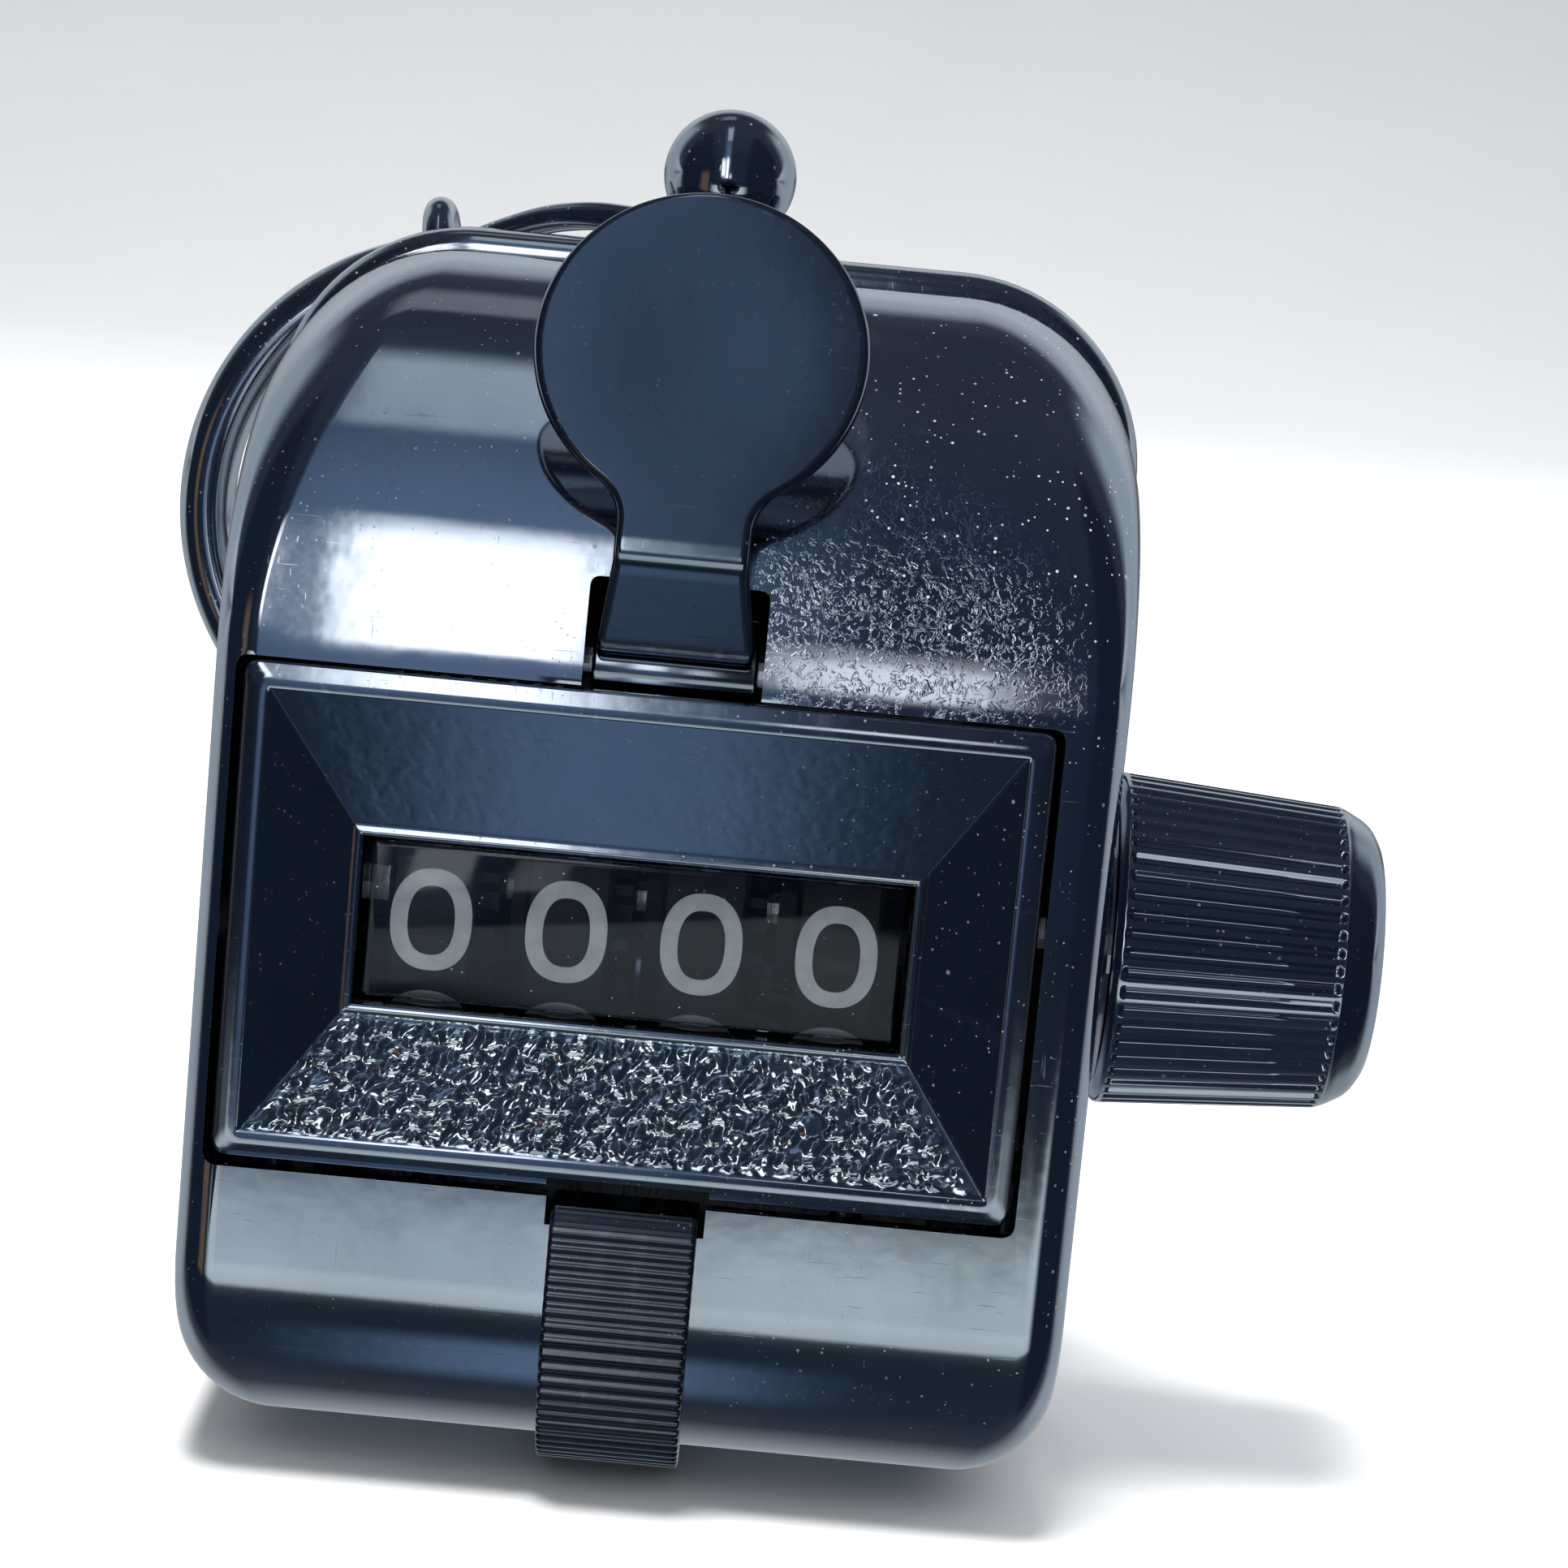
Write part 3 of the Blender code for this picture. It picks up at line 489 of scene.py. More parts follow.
# ================================================================ materials
def chrome(name, color, rough, dust, scratch, grime, wave=0.25, knob_side=False, cluster=None):
    """Chrome plating over pressed metal: faint waves, hairline scratches, haze, dust grains.

    knob_side gathers the dust towards +X; cluster is the (x, z) of a dustier, spotted patch.
    """
    material, g = new_material(name)
    place = g.coords()
    haze = g.noise(place, scale=0.11, detail=4, rough=0.6)
    smear = g.noise(g.coords((0.5, 0.5, 0.12)), scale=0.6, detail=4, rough=0.65, distort=0.8)
    fine = g.noise(place, scale=3.2, rough=0.6)

    # hairlines in two directions, broken up by a slow noise
    lines1 = g.noise(g.coords((0.25, 7.0, 6.0)), scale=1.0, detail=2)
    lines2 = g.noise(g.coords((6.0, 5.0, 0.35)), scale=1.0, detail=2, distort=0.4)
    gate = g.step(g.noise(place, scale=0.35, detail=2), lo=0.45, hi=0.62)
    lines = g.add(g.step(lines1, lo=0.665, hi=0.70), g.step(lines2, lo=0.675, hi=0.705))
    hair = g.mul(lines, gate, clamp=True)

    # dust: where it gathers, then the grains; more of it on upward faces
    if knob_side or cluster:
        position = g.xyz(place)
    up = g.xyz(g.node("ShaderNodeNewGeometry").outputs["Normal"])[2]
    where = g.step(position[0], lo=-14.0, hi=17.0, start=0.25) if knob_side else 0.7
    where = g.mul(where, g.step(up, lo=-0.5, hi=0.5, start=0.35))
    if cluster:
        across = g.mul(g.sub(position[0], cluster[0]), 1 / 9.0)
        upward = g.mul(g.sub(position[2], cluster[1]), 1 / 6.5)
        distance = g.math("SQRT", g.add(g.mul(across, across), g.mul(upward, upward)))
        near = g.step(distance, lo=1.5, hi=0.2)
        where = g.mul(where, g.scale_add(near, scale=1.3, offset=0.45))
    patch = g.mul(g.step(g.noise(place, scale=0.3), lo=0.36, hi=0.62), where)
    medium = g.specks(place, scale=1.7, size=0.13, share=0.20)
    small = g.specks(place, scale=3.4, size=0.19, share=0.30)
    large = g.specks(place, scale=0.62, size=0.062, share=0.22)
    grains = g.math("MAXIMUM", medium, g.math("MAXIMUM", small, large))
    dirt = g.mul(g.mul(grains, patch), dust * 1.5, clamp=True)
    film = g.mul(g.step(smear, lo=0.52, hi=0.74), grime)

    tone = g.mix(g.step(haze, lo=0.35, hi=0.7), color, tint(color, 0.90))
    tone = g.mix(g.mul(film, 0.25), tone, (0.52, 0.54, 0.55))
    # painted highlight: the convex edges are made paler, as if catching the light
    tone = g.mix(g.mul(g.edges(hi=0.60), 0.35), tone, (0.80, 0.83, 0.86))
    sheen = g.scale_add(fine, scale=0.03, offset=rough)
    sheen = g.add(sheen, g.mul(film, 0.10))
    sheen = g.add(sheen, g.mul(hair, 0.22 * scratch))
    relief = g.mul(g.add(g.mul(hair, -0.35 * scratch), g.mul(dirt, 0.9)), 0.15)
    relief = g.scale_add(g.noise(place, scale=0.45, detail=2), scale=wave, offset=relief)
    if cluster:
        spots = g.noise(place, scale=1.9, rough=0.65, distort=1.2)
        spots = g.mul(g.step(spots, lo=0.50, hi=0.60), g.mul(near, near))
        relief = g.add(relief, g.mul(spots, 0.5))
    g.surface(Base_Color=g.mix(dirt, tone, (0.50, 0.53, 0.56)),
              Metallic=g.sub(1.0, g.mul(dirt, 0.9), clamp=True),
              Roughness=g.mix_float(dirt, sheen, 0.75),
              Normal=g.bump(relief, strength=0.35, distance=0.05))
    return material


def steel(name, color, rough, axis, dark):
    """Turned or pressed steel: tool lines across the axis, dull patches, small pits."""
    material, g = new_material(name)
    place = g.coords()
    stretch = [14 if letter == axis else 0.6 for letter in "XYZ"]
    lines = g.noise(g.coords(stretch), scale=1.0, rough=0.6)
    patch = g.noise(place, scale=0.4, detail=4, rough=0.6)
    pits = g.specks(place, scale=2.2, size=0.16, share=0.3)
    tone = g.mix(g.step(patch, lo=0.35, hi=0.7), color, tint(color, 1 - 0.35 * dark))
    tone = g.mix(g.step(lines, lo=0.3, hi=0.75), tone, tint(color, 1.15))
    tone = g.mix(g.mul(pits, 0.6), tone, (0.16, 0.15, 0.14))
    # painted highlight: the convex edges are lightened towards grey-white
    g.surface(Base_Color=g.mix(g.mul(g.edges(), 0.5), tone, (0.78, 0.79, 0.80)),
              Metallic=g.sub(1.0, g.mul(pits, 0.4)),
              Roughness=g.add(g.scale_add(patch, scale=0.18, offset=rough - 0.09),
                              g.scale_add(lines, scale=0.16, offset=-0.08)),
              Normal=g.bump(g.sub(lines, g.mul(pits, 0.8)), strength=0.35, distance=0.03))
    return material


def black_plastic():
    """Moulded plastic: fine grain, soft mottling, a painted highlight on the convex edges, a little
    dust.
    """
    material, g = new_material("wheel_black_plastic")
    color = (0.004, 0.004, 0.005)
    place = g.coords()
    mottle = g.noise(place, scale=0.5, detail=4, rough=0.6)
    fine = g.noise(place, scale=9.0, detail=2, rough=0.6)
    lint = g.specks(place, scale=2.6, size=0.13, share=0.12)
    tone = g.mix(g.step(mottle, lo=0.35, hi=0.75), color, tint(color, 1.6, lift=0.002))
    # painted highlight: the convex edges are a little lighter
    tone = g.mix(g.mul(g.edges(), 0.3), tone, tint(color, 2.5, lift=0.01))
    g.surface(Base_Color=g.mix(g.mul(lint, 0.5), tone, (0.30, 0.31, 0.32)),
              Specular_IOR_Level=0.18,
              Roughness=g.scale_add(g.add(mottle, fine), scale=0.14, offset=0.28),
              Normal=g.bump(fine, strength=0.25, distance=0.03))
    return material


def numeral_ink():
    """Printed numeral: off-white, slightly uneven, thin in places."""
    material, g = new_material("numeral_ink")
    place = g.coords()
    uneven = g.noise(place, scale=0.9, detail=4, rough=0.6)
    fine = g.noise(place, scale=7.0, rough=0.6)
    tone = g.mix(g.step(uneven, lo=0.3, hi=0.75), (0.50, 0.55, 0.59), (0.40, 0.44, 0.48))
    chips = g.step(fine, lo=0.70, hi=0.76)
    g.surface(Base_Color=g.mix(g.mul(chips, 0.6), tone, (0.14, 0.15, 0.16)),
              Roughness=g.scale_add(fine, scale=0.2, offset=0.45),
              Normal=g.bump(fine, strength=0.3, distance=0.02))
    return material


def clear_window():
    """Thin clear sheet: mirrors by angle, lets the rest through, with faint smears and grains."""
    material, g = new_material("window_clear")
    place = g.coords()
    fresnel = g.node("ShaderNodeFresnel", {"IOR": 1.46}).outputs[0]
    smear = g.noise(g.coords((0.3, 1, 1.2)), scale=0.8, detail=4, rough=0.65, distort=0.6)
    smear = g.mul(g.step(smear, lo=0.5, hi=0.8), 0.02)
    lint = g.mul(g.specks(place, scale=1.8, size=0.12, share=0.2), 0.55)
    g.surface(Base_Color=g.mix(lint, (0.80, 0.85, 0.92), (0.7, 0.7, 0.7)),
              Metallic=g.sub(1.0, g.mul(lint, 1.6), clamp=True),
              Roughness=g.scale_add(smear, scale=3.0, offset=0.03),
              Alpha=g.add(g.mul(fresnel, 1.1), g.add(smear, lint), clamp=True))
    return material


CHROME_CASE = chrome("chrome_case", color=(0.60, 0.64, 0.70), rough=0.045, dust=1.0,
                     scratch=0.4, grime=0.35, knob_side=True, cluster=(10.5, 44.5))
CHROME_BACK = chrome("chrome_back", color=(0.62, 0.65, 0.70), rough=0.07, dust=0.45,
                     scratch=0.9, grime=0.6)
CHROME_BEZEL = chrome("chrome_bezel", color=(0.50, 0.54, 0.60), rough=0.06, dust=0.45,
                      scratch=0.25, grime=0.4, knob_side=True)
# painted light: a brighter copy of the chrome for the upward-facing lower slope; its grain and
# roughness are real
CHROME_GRAIN_LIT = chrome("chrome_grained_lit", color=(0.86, 0.92, 0.92), rough=0.10, dust=0.15,
                      scratch=0.0, grime=0.3)
CHROME_LEVER = chrome("chrome_lever", color=(0.36, 0.40, 0.44), rough=0.08, dust=0.06,
                      scratch=0.6, grime=0.2)
CHROME_KNOB = chrome("chrome_knob", color=(0.54, 0.58, 0.64), rough=0.08, dust=0.22,
                     scratch=0.3, grime=0.4)
CHROME_STRAP = chrome("chrome_strap", color=(0.16, 0.17, 0.19), rough=0.16, dust=0.25,
                      scratch=0.4, grime=0.8)
CHROME_RING = chrome("chrome_ring", color=(0.62, 0.66, 0.71), rough=0.08, dust=0.45,
                     scratch=0.6, grime=0.5)
CHROME_BALL = chrome("chrome_ball", color=(0.58, 0.62, 0.67), rough=0.06, dust=0.3,
                     scratch=0.9, grime=0.9, wave=1.2)
STEEL_TURNED = steel("steel_turned", color=(0.55, 0.56, 0.58), rough=0.30, axis="X", dark=0.5)
STEEL_PLATE = steel("steel_plate", color=(0.50, 0.51, 0.53), rough=0.36, axis="Z", dark=0.7)
STEEL_SCREW = steel("steel_screw", color=(0.58, 0.59, 0.61), rough=0.24, axis="Y", dark=0.4)
BRASS = steel("brass_machined", color=(0.74, 0.55, 0.26), rough=0.28, axis="X", dark=0.45)
SPRING = steel("spring_wire", color=(0.40, 0.40, 0.42), rough=0.26, axis="X", dark=0.9)
BLACK = black_plastic()
INK = numeral_ink()
CLEAR = clear_window()


# ================================================================ case
def side_stations(inset):
    """Side outline, from the bottom round the front to the top.

    Each station is (y, z, outward y, outward z, edge radius).
    """
    stations = [(y, BOTTOM_Z + inset, 0.0, -1.0, EDGE_BOTTOM)
                for y in (PART_Y, 0.5 * (PART_Y + BOTTOM_Y))]
    bends = (  # centre y and z, radius, start angle, steps, edge radius at start and end
        (BOTTOM_Y, BOTTOM_Z + BOTTOM_R, BOTTOM_R, 270, 30, EDGE_BOTTOM, EDGE_FACE),
        (CROWN_Y, CROWN_Z, CROWN_R, 180, 54, EDGE_FACE, EDGE_TOP),
    )
    for centre_y, centre_z, radius, start, steps, edge0, edge1 in bends:
        for i in range(steps + 1):
            t = i / steps
            angle = math.radians(start - 90 * t)
            out_y, out_z = math.cos(angle), math.sin(angle)
            stations.append((centre_y + (radius - inset) * out_y,
                             centre_z + (radius - inset) * out_z,
                             out_y, out_z, edge0 + (edge1 - edge0) * t * t * (3 - 2 * t)))
    return stations + [(PART_Y, TOP_Z - inset, 0.0, 1.0, EDGE_TOP)]


def cross_section(station, inset, steps=16):
    """Points across the case at one station, with rounded side edges."""
    y, z, out_y, out_z, edge = station
    radius = edge - inset
    half_width = HALF_WIDTH - inset
    corner = []                             # (x, depth below the outline)
    for i in range(steps + 1):
        angle = math.radians(90 * i / steps)
        corner.append((half_width - radius + radius * math.sin(angle),
                       radius * (1 - math.cos(angle))))
    flat = [(corner[0][0] * t, 0.0) for t in np.linspace(-1, 1, 13)[1:-1]]
    points = [(-x, depth) for x, depth in reversed(corner)] + flat + corner
    return [(x, y - out_y * depth, z - out_z * depth) for x, depth in points]


def front_shell():
    g = Geometry()
    outer, inner = (g.grid([cross_section(s, inset) for s in side_stations(inset)], ring=False)
                    for inset in (0.0, WALL))
    for skin in (outer, inner):
        g.face(skin[:, 0])
        g.face(skin[::-1, -1])
    # close the wall along the parting edge
    for row in (0, -1):
        for j in range(outer.shape[1] - 1):
            g.face((outer[row, j], outer[row, j + 1], inner[row, j + 1], inner[row, j]))
    for col in (0, -1):
        g.face((outer[0, col], outer[-1, col], inner[-1, col], inner[0, col]))
    ob = stand_in("front_shell", g, CHROME_CASE)
    # opening for the bezel, a slot above it and a notch below it
    opening_x = (WINDOW_X - OPENING_HALF_X, WINDOW_X + OPENING_HALF_X)
    cut(ob, slab(opening_x, (-16, -10.5), (OPENING_Z0, OPENING_Z1), corner=0.7))
    cut(ob, slab((-4.2, 4.2), (-16, -10.0), (OPENING_Z1 - 0.6, 45.5), corner=0.5))
    cut(ob, slab((-3.8, 3.8), (-16, -11.0), (OPENING_Z0 - 1.4, OPENING_Z0 + 0.5)))
    # shaft hole in the knob side
    cut(ob, rod("X", (0, AXIS_Y, AXIS_Z), 3.0, 19.5, 23.0))
    soften(ob, width=0.22, segments=3)


def back_outline(offset, y, steps=22):
    """Outline of the case from behind, grown by the offset."""
    side = HALF_WIDTH + offset
    bottom = BOTTOM_Z - min(offset, 0.0)
    top = TOP_Z + offset
    low_r = max(1.0, EDGE_BOTTOM + offset)
    high_r = max(1.0, EDGE_TOP + offset)
    corners = (  # centre x and z, radius, start angle
        (side - low_r, bottom + low_r, low_r, -90), (side - high_r, top - high_r, high_r, 0),
        (-side + high_r, top - high_r, high_r, 90), (-side + low_r, bottom + low_r, low_r, 180),
    )
    return [(x, y, z) for corner in corners
            for x, z in arc(*corner, corner[3] + 90, steps)]


def back_cover():
    edge_y = PART_Y + PART_GAP
    bulge = 0.9                             # how far the cover stands out round the case
    # both profiles are (offset, y)
    outside = [(-0.12, edge_y), (0.0, edge_y + 0.05)]
    outside += [(bulge * math.sin(t), edge_y + 0.05 + 1.45 * (1 - math.cos(t)))
                for t in np.radians(np.linspace(6, 90, 14))]
    outside += [(bulge - 2.6 * (1 - math.cos(t)), 11.2 + 2.8 * math.sin(t))
                for t in np.radians(np.linspace(0, 90, 18))]
    # a shallow groove round the flat panel
    outside += [(-2.3, BACK_Y), (-2.45, 13.98), (-2.6, 13.9), (-2.8, 13.86), (-3.0, 13.9),
                (-3.15, 13.98), (-3.3, BACK_Y)]
    inside = [(-3.4, 13.0), (-2.4, 12.8), (-1.0, 11.2), (-1.0, edge_y)]
    g = Geometry()
    outer, inner = (g.grid([back_outline(*p) for p in profile]) for profile in (outside, inside))
    count = outer.shape[1]
    for j in range(count):
        k = (j + 1) % count
        g.face((inner[-1, j], inner[-1, k], outer[0, k], outer[0, j]))
    g.face(outer[-1])
    g.face(inner[0][::-1])
    ob = stand_in("back_cover", g, CHROME_BACK)
    for x in (-SCREW_X, SCREW_X):
        for z in SCREW_ZS:
            cut(ob, rod("Y", (x, 0, z), 1.2, 12, 15))
    for z in RIVET_ZS:
        cut(ob, rod("Y", (0, 0, z), RIVET_HOLE_R, 12, 15))
    cut(ob, rod("Z", (0, STUD_Y, 0), 1.5, 57, 61))
    soften(ob, width=0.08, angle=60)


# ================================================================ window
BEZEL_NX = 270          # points along a long side and a short side
BEZEL_NZ = 96
SLOPE_STEPS = 66


def bezel_ring(size, offset, y, corner=0.0):
    """Points along four sides, corner to corner, so that the mitres stay sharp."""
    half_x, half_z, middle_z = size[0] + offset, size[1] + offset, size[2]
    x0, x1, z0, z1 = WINDOW_X - half_x, WINDOW_X + half_x, middle_z - half_z, middle_z + half_z
    across = np.arange(BEZEL_NX) / BEZEL_NX
    upward = np.arange(BEZEL_NZ) / BEZEL_NZ
    x = np.concatenate([x0 + (x1 - x0) * across, np.full(BEZEL_NZ, x1),
                        x1 + (x0 - x1) * across, np.full(BEZEL_NZ, x0)])
    z = np.concatenate([np.full(BEZEL_NX, z0), z0 + (z1 - z0) * upward,
                        np.full(BEZEL_NX, z1), z1 + (z0 - z1) * upward])
    if corner > 0:
        # pull the points near a corner in to its arc
        core_x, core_z = half_x - corner, half_z - corner
        dx = np.abs(x - WINDOW_X) - core_x
        dz = np.abs(z - middle_z) - core_z
        both = (dx > 0) & (dz > 0)
        pull = np.where(both, corner / np.maximum(np.hypot(dx, dz), 1e-9), 1.0)
        pull = np.minimum(pull, 1.0)
        x = np.where(both, WINDOW_X + np.sign(x - WINDOW_X) * (core_x + dx * pull), x)
        z = np.where(both, middle_z + np.sign(z - middle_z) * (core_z + dz * pull), z)
    return np.stack([x, np.full(len(x), y), z], 1)


def bezel_rows():
    """Rings from the outer rim over the slopes to the window and back, and the slopes' rows."""
    # (offset, y): upright rim, small radius, a narrow land that leans back, flat border
    border = [(0.0, -12.4), (0.0, -12.95)]
    border += [(-0.18 * (1 - math.cos(t)), -13.09 - 0.18 * math.sin(t))
               for t in np.radians((15, 35, 55, 74))]
    border += [(-0.17, -13.275), (-0.40, -13.325), (-0.62, -13.372), (-0.68, -13.385),
               (-0.76, -13.395), (-0.85, -13.4)]
    rows = [bezel_ring(BEZEL, offset, y, BEZEL_CORNER) for offset, y in border]
    lip = 0.16
    rows += [bezel_ring(RECESS, offset, y)
             for offset, y in ((lip, -13.4), (lip * 0.4, -13.385), (0.0, SLOPE_Y0))]
    first = len(rows)
    top = (*RECESS, SLOPE_Y0)
    low = (WINDOW[0] + BEAD, WINDOW[1] + BEAD, WINDOW[2], SLOPE_Y1)
    for i in range(1, SLOPE_STEPS):
        t = i / SLOPE_STEPS
        *size, y = (a + (b - a) * t for a, b in zip(top, low))
        rows.append(bezel_ring(size, 0.0, y))
    last = len(rows)
    bead = (  # (offset, y): a fine rolled bead round the window, then its reveal
        (0.60, -10.30), (0.56, -10.34), (0.46, -10.375), (0.36, -10.40), (0.27, -10.415),
        (0.18, -10.41), (0.10, -10.38), (0.04, -10.33), (0.01, -10.26), (0.0, -10.2),
        (0.0, -9.9), (-0.02, -9.8), (0.0, -9.2), (1.1, -9.2),
    )
    rows += [bezel_ring(WINDOW, offset, y) for offset, y in bead]
    rows.append(bezel_ring(RECESS, 0.3, -12.4))
    return np.array(rows), first, last


def add_grain(points, first, last):
    """Grain on the slopes: strong on the lower one, shallow on the others."""
    half = BEZEL_NX + BEZEL_NZ
    sides = (  # first column, end column, outward x, outward z, strength of the grain
        (0, BEZEL_NX, 0, -1, 1.15),
        (BEZEL_NX, half, 1, 0, 0.035),
        (half, half + BEZEL_NX, 0, 1, 0.008),
        (half + BEZEL_NX, 2 * half, -1, 0, 0.025),
    )
    for start, end, out_x, out_z, strength in sides:
        level = out_x == 0                  # the lower or the upper slope
        area = points[first:last, start:end]
        along = area[..., 0] if level else area[..., 2]
        t = (np.arange(first, last)[:, None] - first + 1) / SLOPE_STEPS * np.ones(along.shape)
        down = t * (6.9 if level else 5.7)  # distance down the slope
        warp = (0.22 * np.sin(2.1 * along + 3.0 * np.sin(1.7 * down))
                + 0.15 * np.sin(5.3 * along - 4.1 * down))
        big = pebbles(along + 31 + warp, 1.15 * (down + 17) + 0.8 * warp,
                      cell=1.18, seed=1.0 + strength)
        small = pebbles(along + 11 - warp, down + 7 + warp, cell=0.60, seed=5.0 + strength)
        height = (0.21 * big + 0.05 * small) * strength
        # fade out at the rims and the mitres
        column = np.arange(end - start)
        ends = np.minimum(column, column[::-1])[None, :]
        height *= smoothstep(t, 0.0, 0.05) * (1 - smoothstep(t, 0.95, 1.0))
        height *= smoothstep(ends, 0, 5)
        normal = np.array([-out_x * 0.60, -0.86 if level else -0.80, -out_z * 0.60])
        normal /= np.linalg.norm(normal)
        area += height[..., None] * normal


def on_lower_slope(face):
    centre = face.center / MM
    if not (-13.3 < centre.y < -10.33 and 17.6 < centre.z < WINDOW[2] - WINDOW[1] - 0.4):
        return False
    outward = (SLOPE_Y1 - centre.y) / (SLOPE_Y1 - SLOPE_Y0)
    low_half = WINDOW[0] + BEAD
    half_x = low_half + outward * (RECESS[0] - low_half) - 0.02
    return abs(centre.x - WINDOW_X) < min(half_x, RECESS[0]) and face.normal.y < -0.2


def window_bezel():
    """Frame round the number window: rounded border, four sloped sides, thin reveal."""
    points, first, last = bezel_rows()
    add_grain(points, first, last)
    ob = stand_in("window_bezel", Geometry(points, loop=True), CHROME_BEZEL, smooth=50)
    # notch in the lower rim
    cut(ob, slab((-3.9, 3.9), (-14, -12.0), (OPENING_Z0 - 1, 16.5)))
    # the grained lower slope has its own finish: rougher chrome, given a much brighter colour as
    # painted light on this upward-facing slope
    ob.data.materials.append(CHROME_GRAIN_LIT)
    for face in ob.data.polygons:
        if on_lower_slope(face):
            face.material_index = 1
    shade(ob.data, 50)


def window_lens():
    gap = 0.3
    rows = []
    for inset, y in ((0.15, -9.8), (0.05, -9.76), (0.0, -9.65), (0.0, -9.25), (0.06, -9.2)):
        half_x, half_z = WINDOW[0] - gap - inset, WINDOW[1] - gap - inset
        corners = [(WINDOW_X + half_x * side_x, WINDOW[2] + half_z * side_z)
                   for side_x, side_z in ((-1, -1), (1, -1), (1, 1), (-1, 1))]
        rows.append([(x, y, z) for x, z in rounded(corners, 0.35, 6, closed=True)])
    stand_in("window_lens", Geometry(rows, caps=True), CLEAR, smooth=25)


# ================================================================ lever
def lever_centreline():
    """(y, z) from the pivot past the bend, and straight on through the pad."""
    beyond = 20
    points = [(LEVER_Y - 2.0, LEVER_Z + 0.72), (-13.6, 42.3), (BEND_Y, BEND_Z),
              (BEND_Y + beyond * math.sin(PAD_TILT), BEND_Z + beyond * math.cos(PAD_TILT))]
    return rounded(points, [0, 1.1, 0.75, 0], 8)


def lever_half_width(past):
    """Half width against distance past the bend: tapering strut, neck, fillet, round pad."""
    fillet = 2.6
    neck = 3.1
    reach = math.sqrt((PAD_R + fillet) ** 2 - (neck + fillet) ** 2)
    fillet_at = PAD_DIST - reach
    touch = fillet_at + reach * fillet / (PAD_R + fillet)
    strut = np.minimum(3.7, neck + 0.115 * np.maximum(0, -past - 0.4))
    width = np.where(past < 0, strut, neck)
    flare = neck + fillet - np.sqrt(np.maximum(fillet ** 2 - (past - fillet_at) ** 2, 0))
    width = np.where((past > fillet_at) & (past < touch), flare, width)
    pad = np.sqrt(np.maximum(PAD_R ** 2 - (past - PAD_DIST) ** 2, 0))
    return np.where(past >= touch, pad, width)


def thumb_lever():
    line, along = resample(lever_centreline(), 0.05)
    bend = along[np.argmin(np.hypot(line[:, 0] - BEND_Y, line[:, 1] - BEND_Z))]
    neck_end = 6.0
    pad_angles = np.linspace(math.acos((PAD_DIST - neck_end) / PAD_R), math.pi, 70)
    stations = np.concatenate([np.linspace(-bend, 0, 46)[:-1], np.linspace(0, neck_end, 40)[:-1],
                               PAD_DIST - PAD_R * np.cos(pad_angles)])
    stations[-1] = PAD_DIST + PAD_R - 1e-4
    width = np.maximum(lever_half_width(stations), 0.02)[:, None]

    # columns across the plate, closer together towards its edges
    columns = 57
    spread = np.sin(np.linspace(-math.pi / 2, math.pi / 2, columns))
    spread = 0.35 * np.linspace(-1, 1, columns) + 0.65 * spread
    x = width * spread[None, :]
    past = np.repeat(stations[:, None], columns, 1)

    def on_line(shift, column):
        return np.interp(past + bend + shift, along, line[:, column])

    y, z = on_line(0, 0), on_line(0, 1)
    step = 0.25
    tangent_y = on_line(step, 0) - on_line(-step, 0)
    tangent_z = on_line(step, 1) - on_line(-step, 1)
    length = np.hypot(tangent_y, tangent_z)
    front_y, front_z = -tangent_z / length, tangent_y / length

    # thickness, with rounded edges and a shallow hollow in the pad
    from_middle = np.hypot(past - PAD_DIST, x)
    to_rim = np.where(past > PAD_DIST - 2, PAD_R - from_middle, 9.0)
    to_edge = np.maximum(np.minimum(width - np.abs(x), to_rim), 0.0)
    edge_r = 0.36
    half = PLATE_T / 2 - edge_r
    half = half + np.sqrt(np.maximum(edge_r ** 2 - np.maximum(edge_r - to_edge, 0) ** 2, 0))
    hollow = 0.06 * (1 - smoothstep(from_middle / PAD_R, 0.0, 0.93)) * (past > 0)
    front = np.stack([x, y + front_y * (half - hollow), z + front_z * (half - hollow)], -1)
    back = np.stack([x, y - front_y * half, z - front_z * half], -1)
    g = Geometry(np.concatenate([front, back[:, ::-1]], 1), caps=True)
    # hub round the pivot
    bore = LEVER_PIN_R + RUNNING_GAP
    hub = rounded([(-3.9, bore), (-3.9, 2.5), (3.9, 2.5), (3.9, bore)], 0.2, closed=True)
    g.grid(lathe(hub, "X", (0, LEVER_Y, LEVER_Z)), loop=True)
    stand_in("thumb_lever", g, CHROME_LEVER, body="lever", smooth=40)


